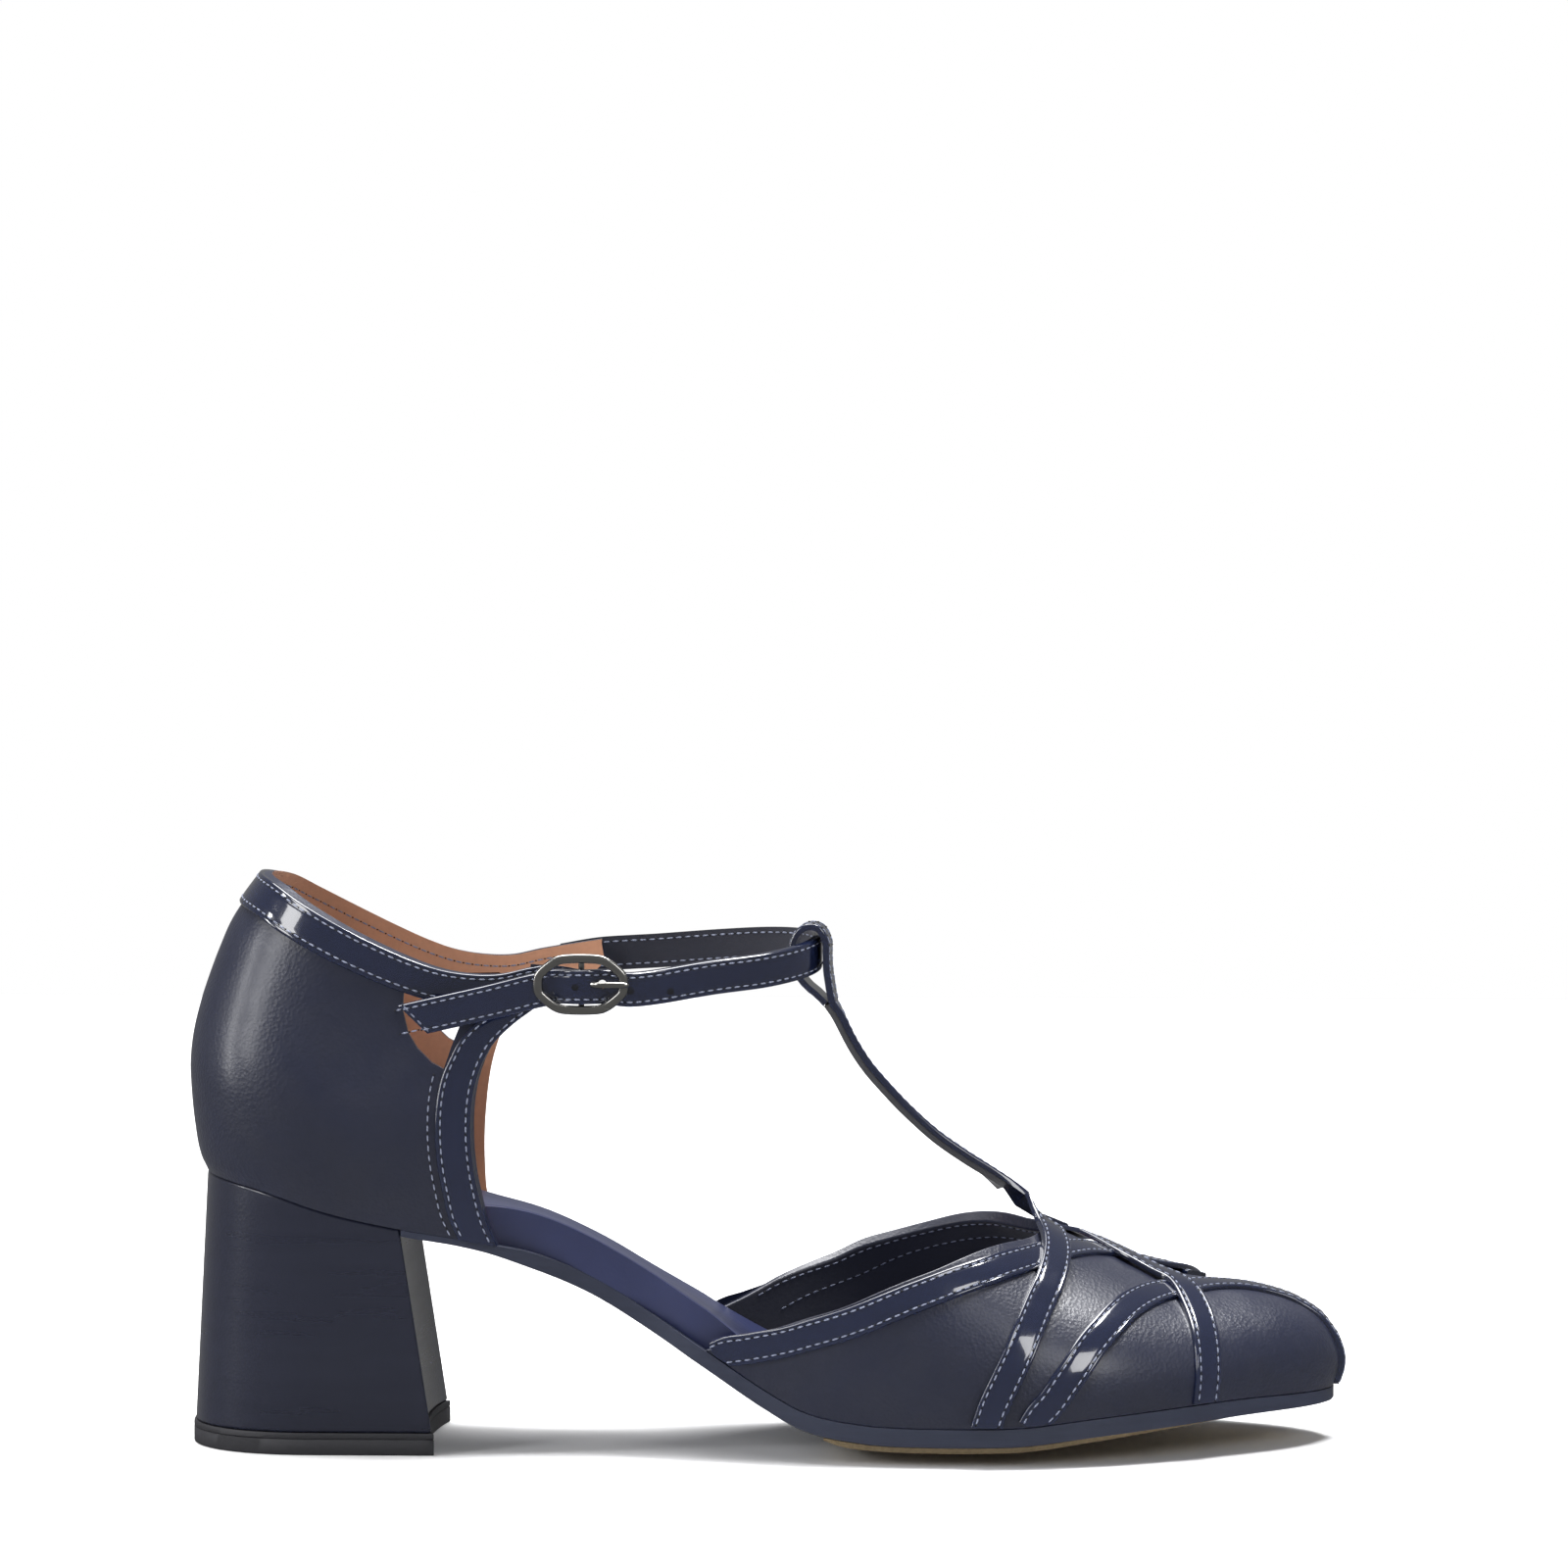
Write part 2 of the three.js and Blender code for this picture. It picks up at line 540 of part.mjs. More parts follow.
// The quarter's front edge and the rear edge of its front straps, by rise, as shares of the shoe's length.
// medial: how much further forward both edges stand on the medial side. tip: the same for the corner alone.
const frontEdge = [
  { rise: 0.0, front: 0.272, rear: 0.239, medial: -0.018, tip: 0.0 },
  { rise: 0.08, front: 0.264, rear: 0.231, medial: -0.016, tip: 0.0 },
  { rise: 0.18, front: 0.258, rear: 0.226, medial: -0.012, tip: 0.0 },
  { rise: 0.28, front: 0.2535, rear: 0.222, medial: -0.008, tip: 0.0 },
  { rise: 0.4, front: 0.251, rear: 0.22, medial: -0.004, tip: 0.0 },
  { rise: 0.54, front: 0.252, rear: 0.2215, medial: -0.001, tip: 0.0 },
  { rise: 0.63, front: 0.256, rear: 0.226, medial: 0.0, tip: 0.0 },
  { rise: 0.71, front: 0.263, rear: 0.2336, medial: 0.0, tip: 0.0 },
  { rise: 0.77, front: 0.2725, rear: 0.2404, medial: 0.0, tip: 0.0 },
  { rise: 0.82, front: 0.287, rear: 0.25, medial: 0.0, tip: 0.004 },
  { rise: 0.86, front: 0.303, rear: 0.262, medial: 0.0, tip: 0.013 },
  { rise: 0.9, front: 0.317, rear: 0.272, medial: 0.0, tip: 0.03 },
  { rise: 1.0, front: 0.319, rear: 0.28, medial: 0.0, tip: 0.034 },
];
function edgePlace(column, rise, side) {
  const shift = side > 0 ? along(frontEdge, "rise", "medial", rise) : 0;
  return placeOf(along(frontEdge, "rise", column, rise) + shift);
}

// The turn that reaches a place along the shoe, at a rise up the cup.
function turnAt(x, rise) {
  const lean = cupLean * along(cup, "rise", "lean", rise) - heelCupBack;
  return Math.sqrt((x - lean) / (quarterFront - lean));
}

// Length of the cup's wall from the feather edge to the collar, near enough, at a turn.
const cupHeight = (turn) => cupPoint(turn, 1).z - cupPoint(turn, 0).z;

// The quarter's front edge as a turn, at a rise up one side.
function quarterTurn(rise, side) {
  const tip = side > 0 ? shoeLength * along(frontEdge, "rise", "tip", rise) : 0;
  return side * turnAt(edgePlace("front", rise, side) + tip, rise);
}

// The turn at a share of the way round the quarter, from the lateral front edge to the medial one.
const roundTurn = (share, rise) => Math.abs(2 * share - 1) * quarterTurn(rise, share < 0.5 ? -1 : 1);

// Solid cut out of the quarter for a side opening, a drop standing on its point under the collar band.
const dropOutline = [
  { at: 0.1925, up: 0.65 },
  { at: 0.1915, up: 0.57 },
  { at: 0.196, up: 0.497 },
  { at: 0.2043, up: 0.444 },
  { at: 0.2166, up: 0.398 },
  { at: 0.2268, up: 0.376 },
  { at: 0.2336, up: 0.454 },
  { at: 0.2404, up: 0.52 },
  { at: 0.247, up: 0.566 },
  { at: 0.2545, up: 0.598 },
  { at: 0.266, up: 0.62 },
  { at: 0.262, up: 0.629 },
  { at: 0.225, up: 0.625 },
  { at: 0.205, up: 0.636 },
];

// Hollow quarter around the heel: a U of leather, open in front, with a drop cut through each side.
function quarter() {
  const point = (s, rise, grow) => cupPoint(roundTurn(s, rise), rise, grow);
  const outer = grid(8, 44, (rise, s) => point(s, rise, 0));
  const inner = grid(8, 44, (rise, s) => point(s, rise, -wall));
  const drop = sideCut(dropOutline.map(({ at, up }) => [placeOf(at), heelHeight + up * counterHeight]));
  return geometryOf(solid(between(outer, inner)).subtract(drop));
}

// Patent band along the collar, laid on the outside of the quarter.
function collarBand() {
  const point = (s, down, grow) => {
    const rise = 1 - (down * bandWidth) / cupHeight(roundTurn(s, 1));
    return cupPoint(roundTurn(s, rise), rise, grow);
  };
  return between(
    grid(44, 1, (s, down) => point(s, down, gap + stripThickness)),
    grid(44, 1, (s, down) => point(s, down, gap)),
  );
}

// Patent strap up the quarter's front edge, from the sole to the collar band, on the side of -1 or 1.
function frontStrap(side) {
  const point = (u, across, grow) => {
    const level = u * frontEdge[frontEdge.length - 2].rise;
    const [rear, front] = [edgePlace("rear", level, side), edgePlace("front", level, side)];
    const x = rear + (front - rear) * across;
    const turn = turnAt(x, level);
    return cupPoint(side * turn, u * (1 - (bandWidth + 2 * gap) / cupHeight(turn)), grow);
  };
  return between(
    grid(16, 1, (u, a) => point(u, a, gap + stripThickness)),
    grid(16, 1, (u, a) => point(u, a, gap)),
  );
}

// The vamp's form at a place: its point, the outward normal and the ways along it.
function vampFrame(x, girth) {
  const [dx, dg] = [0.05, 0.0005];
  const alongX = vampPoint(x + dx, girth).sub(vampPoint(x - dx, girth)).divideScalar(2 * dx);
  const alongGirth = vampPoint(x, girth + dg).sub(vampPoint(x, girth - dg)).divideScalar(2 * dg);
  const normal = alongX.clone().cross(alongGirth).normalize();
  return { x, girth, point: vampPoint(x, girth), normal, alongX, alongGirth };
}

// Walks over the vamp's form from a place by a small step in space.
function walk(start, step) {
  const target = start.point.clone().add(step);
  let place = start;
  for (let i = 0; i < 4; i++) {
    const miss = target.clone().sub(place.point);
    const [xx, xg] = [place.alongX.dot(place.alongX), place.alongX.dot(place.alongGirth)];
    const gg = place.alongGirth.dot(place.alongGirth);
    const [mx, mg] = [miss.dot(place.alongX), miss.dot(place.alongGirth)];
    const det = xx * gg - xg * xg;
    place = vampFrame(place.x + (mx * gg - mg * xg) / det, place.girth + (mg * xx - mx * xg) / det);
  }
  return place;
}

// Strips laid on the vamp, by their centre lines. at: share of the shoe's length. girth: as on the topline.
// over: 1 where the strip climbs over another. climb: added to that for the medial strip, which mirrors the
// lateral one and passes over it at the ridge.
const instepStrip = [
  { at: 0.7425, girth: 0.44, over: 1.1 },
  { at: 0.7468, girth: 0.4, over: 1.3 },
  { at: 0.749, girth: 0.355, over: 1.2 },
  { at: 0.7475, girth: 0.31, over: 1.1 },
  { at: 0.743, girth: 0.265, over: 0.7 },
  { at: 0.736, girth: 0.218, over: 0 },
  { at: 0.728, girth: 0.168, over: 0 },
  { at: 0.7195, girth: 0.12, over: 0 },
  { at: 0.7085, girth: 0.072, over: 0 },
  { at: 0.698, girth: 0.03, over: 0 },
  { at: 0.6885, girth: -0.02, over: 0 },
];
const collarStrip = [
  { at: 0.447, girth: -0.022, over: 0.2 },
  { at: 0.463, girth: 0.004, over: 0.2 },
  { at: 0.49, girth: 0.024, over: 0.15 },
  { at: 0.52, girth: 0.046, over: 0 },
  { at: 0.57, girth: 0.088, over: 0 },
  { at: 0.604, girth: 0.124, over: 0 },
  { at: 0.653, girth: 0.181, over: 0 },
  { at: 0.687, girth: 0.23, over: 0 },
  { at: 0.71, girth: 0.274, over: 0 },
  { at: 0.732, girth: 0.326, over: 0 },
  { at: 0.76, girth: 0.4, over: 0, climb: 0.3 },
  { at: 0.778, girth: 0.45, over: 0, climb: 1 },
  { at: 0.796, girth: 0.492, over: 0, climb: 1 },
  { at: 0.815, girth: 0.53, over: 0, climb: 1 },
  { at: 0.835, girth: 0.557, over: 0.5, climb: 0.3 },
  { at: 0.852, girth: 0.585, over: 1.1 },
  { at: 0.862, girth: 0.63, over: 1.1 },
  { at: 0.871, girth: 0.695, over: 0.4 },
  { at: 0.877, girth: 0.765, over: 0 },
  { at: 0.88, girth: 0.835, over: 0 },
  { at: 0.881, girth: 0.916, over: 0 },
  { at: 0.88, girth: 0.97, over: 0 },
  { at: 0.878, girth: 1.02, over: 0 },
];
const toeStrip = [
  { at: 0.726, girth: -0.02, over: 0 },
  { at: 0.737, girth: 0.018, over: 0 },
  { at: 0.748, girth: 0.042, over: 0 },
  { at: 0.758, girth: 0.072, over: 0 },
  { at: 0.769, girth: 0.107, over: 0 },
  { at: 0.781, girth: 0.152, over: 0 },
  { at: 0.795, girth: 0.202, over: 0 },
  { at: 0.811, girth: 0.26, over: 0 },
  { at: 0.827, girth: 0.311, over: 0 },
  { at: 0.841, girth: 0.35, over: 0 },
  { at: 0.856, girth: 0.385, over: 0 },
  { at: 0.874, girth: 0.425, over: 0 },
  { at: 0.895, girth: 0.462, over: 0 },
  { at: 0.92, girth: 0.487, over: 0 },
  { at: 0.945, girth: 0.498, over: 0 },
  { at: 0.96, girth: 0.5, over: 0 },
];

// Stations of a strip over the vamp, from its table, on the side of -1 or 1. The strip along the topline
// follows it further back on the medial side.
function vampStations(table, side, width = stripWidth) {
  const back = (girth) => (table === collarStrip ? medialReach(1 - girth) : 0);
  const rows = table.map(({ at, girth, over, climb = 0 }) =>
    side < 0 ? [placeOf(at), girth, over] : [placeOf(at) - back(girth), 1 - girth, over + climb],
  );
  const samples = smooth(rows, 2);
  return samples.map(([x, girth, over], i) => {
    const here = vampFrame(x, girth);
    const before = samples[Math.max(i - 1, 0)];
    const after = samples[Math.min(i + 1, samples.length - 1)];
    const heading = vampPoint(after[0], after[1]).sub(vampPoint(before[0], before[1])).normalize();
    const across = heading.cross(here.normal).normalize();
    const step = (s) => across.clone().multiplyScalar((s * width) / 2);
    const frames = [-1, 0, 1].map((s) => walk(here, step(s)));
    return {
      points: frames.map((frame) => frame.point),
      normals: frames.map((frame) => frame.normal),
      lift: over * (stripThickness + gap),
    };
  });
}

// Everything below the feather edge, to trim the strips' ends to the sole's line.
function belowFeather() {
  const point = (u, a, height) => {
    const x = placeOf(0.38 + 0.66 * u);
    return new THREE.Vector3(x, (a - 0.5) * 2 * shoeLength, height(x));
  };
  return solid(
    between(
      grid(30, 1, (u, a) => point(u, a, edgeZ)),
      grid(30, 1, (u, a) => point(u, a, () => -shoeLength)),
    ),
  );
}

const trimmed = (geometry) => geometryOf(solid(geometry).subtract(belowFeather()));

const vampStrip = (table, side) =>
  trimmed(ribbon(vampStations(table, side), gap, gap + stripThickness));

// A medial strip that ends against the edge of another strip, which is given wider and thicker.
const endedStrip = (table, against) => {
  const strip = solid(ribbon(vampStations(table, 1), gap, gap + stripThickness));
  return geometryOf(strip.subtract(belowFeather()).subtract(against));
};
const wideStrip = (table, from = 0) =>
  solid(ribbon(vampStations(table.slice(from), -1, stripWidth + 2 * gap), -wall, 4 * stripThickness));

// Stations over the toe's nose and down its tip to the sole, along the middle of the last.
function noseStations() {
  const [over, down] = [5, 6];
  const ridgeEnd = placeOf(toeStrip[toeStrip.length - 1].at);
  const profile = [];
  for (let i = 1; i <= over; i++)
    profile.push(vampPoint(ridgeEnd + (featherToe - ridgeEnd) * Math.sin((i / over) * (Math.PI / 2)), 0.5));
  for (let i = 1; i <= down; i++) profile.push(vampPoint(featherToe, 0.5 - (0.52 * i) / down));
  const sag = stripWidth ** 2 / (8 * toeCrown);
  return profile.map((p, i) => {
    const [above, below] = [profile[Math.max(i - 1, 0)], profile[Math.min(i + 1, profile.length - 1)]];
    const heading = below.clone().sub(above).normalize();
    const across = new THREE.Vector3(0, -1, 0);
    const normal = across.clone().cross(heading).normalize();
    const points = [-1, 0, 1].map((s) =>
      p.clone().addScaledVector(across, (s * stripWidth) / 2).addScaledVector(normal, s ? -sag : 0),
    );
    return { points, normals: [normal, normal, normal], lift: 0 };
  });
}

const toeStripGeometry = () =>
  trimmed(ribbon([...vampStations(toeStrip, -1), ...noseStations()], gap, gap + stripThickness));

// Stations of a free strap from rows of x, y, z and the angle of its breadth from the y axis, in degrees.
// An angle of null stands the breadth upright.
function freeStations(rows, breadth) {
  return rows.map(([x, y, z, angle], i) => {
    const before = rows[Math.max(i - 1, 0)];
    const after = rows[Math.min(i + 1, rows.length - 1)];
    const heading = new THREE.Vector3(...after.slice(0, 3)).sub(new THREE.Vector3(...before.slice(0, 3)));
    heading.normalize();
    const across = new THREE.Vector3(0, 0, 1);
    if (angle !== null) across.set(Math.sin((angle * Math.PI) / 180), -Math.cos((angle * Math.PI) / 180), 0);
    across.addScaledVector(heading, -across.dot(heading)).normalize();
    const normal = across.clone().cross(heading).normalize();
    const middle = new THREE.Vector3(x, y, z);
    const points = [-1, 0, 1].map((s) => middle.clone().addScaledVector(across, (s * breadth) / 2));
    return { points, normals: [normal, normal, normal], lift: 0 };
  });
}

// The ankle strap's middle line, from outside the medial quarter round the ankle to the buckle. at: share of
// the shoe's length. side: share of half the ankle's breadth. up: share of the counter's height.
const ankleLine = [
  { at: 0.318, side: 1.02, up: 0.666 },
  { at: 0.35, side: 1.01, up: 0.688 },
  { at: 0.38, side: 0.965, up: 0.698 },
  { at: 0.404, side: 0.92, up: 0.705 },
  { at: 0.455, side: 0.77, up: 0.725 },
  { at: 0.4995, side: 0.53, up: 0.742 },
  { at: 0.53, side: 0.24, up: 0.748 },
  { at: 0.545, side: -0.09, up: 0.742 },
  { at: 0.534, side: -0.42, up: 0.72 },
  { at: 0.502, side: -0.73, up: 0.698 },
  { at: 0.4553, side: -0.95, up: 0.68 },
  { at: 0.4128, side: -1.08, up: 0.655 },
];
// The ankle strap's foremost row, where the T strap loops over it
const ankleFront = ankleLine.reduce((front, row) => (row.at > front.at ? row : front));
const ankleHalf = 22.6; // half the ankle strap's breadth, medial to lateral
const strapAt = ({ at, side, up }) => [placeOf(at), side * ankleHalf, heelHeight + up * counterHeight];

// The buckle's ring stands out over the lateral quarter. A bar behind it carries the tab and the prong.
const buckleAt = [placeOf(0.3455), -1.27 * ankleHalf, heelHeight + 0.668 * counterHeight];
const barInset = 2.6; // from the ring's plane in to the bar's
const barRadius = 0.6;
const prongRadius = 0.45;
const tabThickness = 0.8;
const tailSlant = 4.6; // how far the free end's lower corner stands ahead of its upper one
const sideOfRing = (buckleLength - buckleWire) / 2;
const underRing = buckleWire / 2 + gap + strapThickness / 2; // ring's middle in to the strap's middle
// Ring's plane out to the middle of the strap over the bar
const overBar = barRadius + 2 * gap + tabThickness + strapThickness / 2 - barInset;

// The strap's way through the buckle to its free end. ahead: share of half the ring's length ahead of the
// bar. over: 0 behind the ring, 1 over the bar. tuck: how far in from that, in strap thicknesses.
// drop: how far below the buckle's middle, in strap breadths.
const weave = [
  { ahead: 1.174, over: 0, tuck: 0.0, drop: 0.171 },
  { ahead: 0.767, over: 0, tuck: 0.07, drop: 0.129 },
  { ahead: 0.581, over: 0, tuck: -0.07, drop: 0.086 },
  { ahead: 0.174, over: 1, tuck: 0.0, drop: 0.071 },
  { ahead: -0.174, over: 1, tuck: 0.0, drop: 0.071 },
  { ahead: -0.581, over: 0, tuck: -0.07, drop: 0.086 },
  { ahead: -0.767, over: 0, tuck: 0.07, drop: 0.143 },
  { ahead: -1.174, over: 0, tuck: 0.0, drop: 0.243 },
  { ahead: -2.063, over: 0, tuck: 0.4, drop: 0.529 },
  { ahead: -3.02, over: 0, tuck: 0.53, drop: 0.8 },
  { ahead: -4.2, over: 0, tuck: 0.53, drop: 1.13 },
];

// Rows of the ankle strap's middle, through the buckle and on to its free end.
function ankleRows() {
  const [x, y, z] = buckleAt;
  const woven = weave.map(({ ahead, over, tuck, drop }) => [
    x + ahead * sideOfRing,
    y + underRing - over * (underRing + overBar) + tuck * strapThickness,
    z - drop * strapWidth,
  ]);
  return smooth([...ankleLine.map(strapAt), ...woven], 2).map((row) => [...row, null]);
}

// Round bar between two points, as a closed solid.
function rod(from, to, radius, sides = 10) {
  const [a, b] = [new THREE.Vector3(...from), new THREE.Vector3(...to)];
  const geometry = new THREE.CylinderGeometry(radius, radius, a.distanceTo(b), sides);
  geometry.applyQuaternion(
    new THREE.Quaternion().setFromUnitVectors(new THREE.Vector3(0, 1, 0), b.clone().sub(a).normalize()),
  );
  geometry.translate((a.x + b.x) / 2, (a.y + b.y) / 2, (a.z + b.z) / 2);
  return solid(geometry);
}

// The prong: a ring round the bar, then a pin out through the strap and over the front of the ring.
const prongBend = 0.42; // share of half the ring's length where the pin lies down on the strap
const prongTip = 1.14; // the same, where the pin ends
function prongSolid(grow = 0) {
  const [x, y, z] = buckleAt;
  const reach = barRadius + gap + prongRadius;
  const ring = new THREE.TorusGeometry(reach, prongRadius + grow, 8, 16);
  ring.translate(x, y + barInset, z);
  const outside = y - buckleWire / 2 - gap - prongRadius;
  const bend = [x + prongBend * sideOfRing, outside, z];
  const pin = prongRadius + grow;
  return solid(ring)
    .add(rod([x + barRadius, y + barInset - reach, z], bend, pin))
    .add(rod(bend, [x + prongTip * sideOfRing, outside, z], pin));
}

// Holes punched along the strap in front of the buckle. ahead: as on the weave. drop: as on the weave.
const punched = [
  { ahead: 1.163, drop: 0.214 },
  { ahead: 1.163 + holePitch / sideOfRing, drop: 0.243 },
];
function strapHoles() {
  const [x, y, z] = buckleAt;
  return punched
    .map(({ ahead, drop }) => {
      const [at, up] = [x + ahead * sideOfRing, z - drop * strapWidth];
      return rod([at, y - strapWidth, up], [at, y + strapWidth, up], holeDiameter / 2);
    })
    .reduce((a, b) => a.add(b));
}

function ankleStrap() {
  const stations = freeStations(ankleRows(), strapWidth);
  const [before, end] = stations.slice(-2);
  const heading = end.points[1].clone().sub(before.points[1]).normalize();
  end.points.forEach((point, i) => point.addScaledVector(heading, (-tailSlant * (2 - i)) / 2));
  const strap = solid(ribbon(stations, -strapThickness / 2, strapThickness / 2));
  return geometryOf(strap.subtract(prongSolid(gap)).subtract(strapHoles()));
}

// Ring of the buckle, a long octagon with a drop to the bar at its top and bottom.
const ringFlat = 0.24; // share of the ring's length from its middle to the end of its straight top
const ringSide = 0.16; // share of the ring's height from its middle to the end of its upright side
function buckleFrame() {
  const [x, y, z] = buckleAt;
  const corners = (inset) => {
    const [l, h] = [buckleLength / 2 - inset, buckleHeight / 2 - inset];
    const [flat, side] = [buckleLength * ringFlat, buckleHeight * ringSide];
    return [
      [-flat, -h],
      [flat, -h],
      [l, -side],
      [l, side],
      [flat, h],
      [-flat, h],
      [-l, side],
      [-l, -side],
    ].map(([a, b]) => new THREE.Vector2(a, b));
  };
  const shape = new THREE.Shape(corners(0));
  shape.holes.push(new THREE.Path(corners(buckleWire).reverse()));
  const ring = new THREE.ExtrudeGeometry(shape, { depth: buckleWire, bevelEnabled: false });
  ring.rotateX(Math.PI / 2);
  ring.translate(x, y + buckleWire / 2, z);
  const reach = (buckleHeight - buckleWire) / 2;
  const bar = rod([x, y + barInset, z - reach], [x, y + barInset, z + reach], barRadius);
  const drop = (s) => rod([x, y, z + s * reach], [x, y + barInset + barRadius, z + s * reach], barRadius);
  return geometryOf(solid(ring).add(bar).add(drop(-1)).add(drop(1)));
}

// Tab from the lateral quarter, looped round the buckle's bar and split for the prong. It sits a little low
// behind the ring and leans back to the wall at its end.
const tabDrop = 0.6;
const tabEnd = 2.6; // how far behind the bar the tab's inner end lies
const tabRise = 0.94; // rise up the quarter where the tab starts
function buckleTab() {
  const [x, y, z] = buckleAt;
  const bar = y + barInset;
  const round = barRadius + gap;
  const start = cupPoint(quarterTurn(1, -1), tabRise, gap);
  const middle = [(start.x + x) / 2 - tabDrop, (start.y + bar + round) / 2 - gap, (start.z + z) / 2];
  const rows = [[start.x + 5 * gap, start.y - 2 * gap, start.z], middle];
  const bends = 6;
  for (let i = 0; i <= bends; i++) {
    const angle = (Math.PI * (i - 0.2)) / bends;
    rows.push([x + round * Math.sin(angle), bar + round * Math.cos(angle), z - tabDrop]);
  }
  rows.push([x - tabEnd, bar - round / 2, z - tabDrop]);
  const line = rows.map((row) => [...row, null]);
  const tab = solid(ribbon(freeStations(line, tabWidth), 0, tabThickness));
  return geometryOf(tab.subtract(prongSolid(gap)));
}

// The T strap's inner face, from its tail behind the ankle strap, up over that and down in front.
// ahead and up: from the ankle strap's middle, as shares of its breadth.
const loopLine = [
  { ahead: 0.26, up: -1.26 },
  { ahead: 0.06, up: -1.08 },
  { ahead: -0.2, up: -0.86 },
  { ahead: -0.45, up: -0.52 },
  { ahead: -0.56, up: 0.0 },
  { ahead: -0.5, up: 0.38 },
  { ahead: -0.28, up: 0.6 },
  { ahead: -0.02, up: 0.57 },
  { ahead: 0.125, up: 0.3 },
  { ahead: 0.14, up: 0.0 },
  { ahead: 0.15, up: -0.4 },
  { ahead: 0.2, up: -0.82 },
];
const loopTurn = -5; // degrees the loop's breadth stands off the y axis
const loopSide = -0.2; // middle of the loop as a share of half the ankle's breadth
function loopRows() {
  const [x, , z] = strapAt(ankleFront);
  const place = ({ ahead, up }) => [x + ahead * strapWidth, loopSide * ankleHalf, z + up * strapWidth];
  return loopLine.map((row) => [...place(row), loopTurn]);
}

// Rows of the T strap's long run down to the throat. at: share of the shoe's length. side: share of half the
// ankle's breadth. up: share of the throat's height. turn: degrees its breadth stands off the y axis.
const instepLine = [
  { at: 0.5545, side: -0.19, up: 2.054, turn: -4 },
  { at: 0.5609, side: -0.175, up: 1.989, turn: 2 },
  { at: 0.5715, side: -0.15, up: 1.871, turn: 5 },
  { at: 0.5847, side: -0.115, up: 1.756, turn: 6 },
  { at: 0.6009, side: -0.088, up: 1.652, turn: 7 },
  { at: 0.6213, side: -0.058, up: 1.536, turn: 8 },
  { at: 0.6451, side: -0.027, up: 1.421, turn: 8 },
  { at: 0.6706, side: 0.0, up: 1.324, turn: 9 },
  { at: 0.6902, side: 0.027, up: 1.256, turn: 12 },
  { at: 0.7047, side: 0.035, up: 1.195, turn: 22 },
  { at: 0.7191, side: 0.018, up: 1.12, turn: 38 },
];
function instepRows() {
  const place = ({ at, side, up }) => [placeOf(at), side * ankleHalf, up * throatHeight];
  return instepLine.map((row) => [...place(row), row.turn]);
}

function tStrap() {
  const rows = [...loopRows(), ...instepRows()];
  const free = freeStations(smooth(rows, 2), strapWidth);
  const laid = vampStations(instepStrip, -1);
  return trimmed(ribbon([...free, ...laid], gap, gap + tStrapThickness));
}

function tStrapBacking() {
  const rows = instepRows().slice(0, -1);
  return ribbon(freeStations(smooth(rows, 2), strapWidth), -backingThickness, 0);
}

// One named sub-part with its own finish.
function part(name, geometry, colour, roughness, metalness = 0) {
  geometry.computeVertexNormals();
  const material = new THREE.MeshStandardMaterial({ color: colour, roughness, metalness });
  const mesh = new THREE.Mesh(geometry, material);
  mesh.name = name;
  return mesh;
}

const nappa = "#2b2f3f";
const patent = "#262b3e";
const shoe = new THREE.Group();
shoe.add(
  part("outsole", outsole(), "#343840", 0.6),
  part("forepart_tread", tread(), "#78694b", 0.75),
  part("insole", insole(), "#3a4060", 0.4),
  part("heel_block", heelBlock(), "#2f313e", 0.35),
  part("heel_top_piece", heelTopPiece(), "#303036", 0.7),
  part("quarter", quarter(), nappa, 0.5),
  part("vamp", vamp(), nappa, 0.5),
  part("collar_band", collarBand(), patent, 0.15),
  part("front_strap_lateral", frontStrap(-1), patent, 0.15),
  part("front_strap_medial", frontStrap(1), patent, 0.15),
  part("vamp_strip_collar_lateral", vampStrip(collarStrip, -1), patent, 0.15),
  part("vamp_strip_collar_medial", vampStrip(collarStrip, 1), patent, 0.15),
  part("vamp_strip_toe_lateral", toeStripGeometry(), patent, 0.15),
  part("vamp_strip_toe_medial", endedStrip(toeStrip.slice(0, 12), wideStrip(toeStrip, 8)), patent, 0.15),
  part("vamp_strip_instep_medial", endedStrip(instepStrip.slice(1), wideStrip(instepStrip)), patent, 0.15),
  part("t_strap", tStrap(), patent, 0.15),
  part("t_strap_backing", tStrapBacking(), "#3c3c40", 0.7),
  part("ankle_strap", ankleStrap(), patent, 0.15),
  part("buckle_tab", buckleTab(), patent, 0.15),
  part("buckle_frame", buckleFrame(), "#969694", 0.25, 1),
  part("buckle_prong", geometryOf(prongSolid()), "#969694", 0.25, 1),
);

export default shoe;
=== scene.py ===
import math

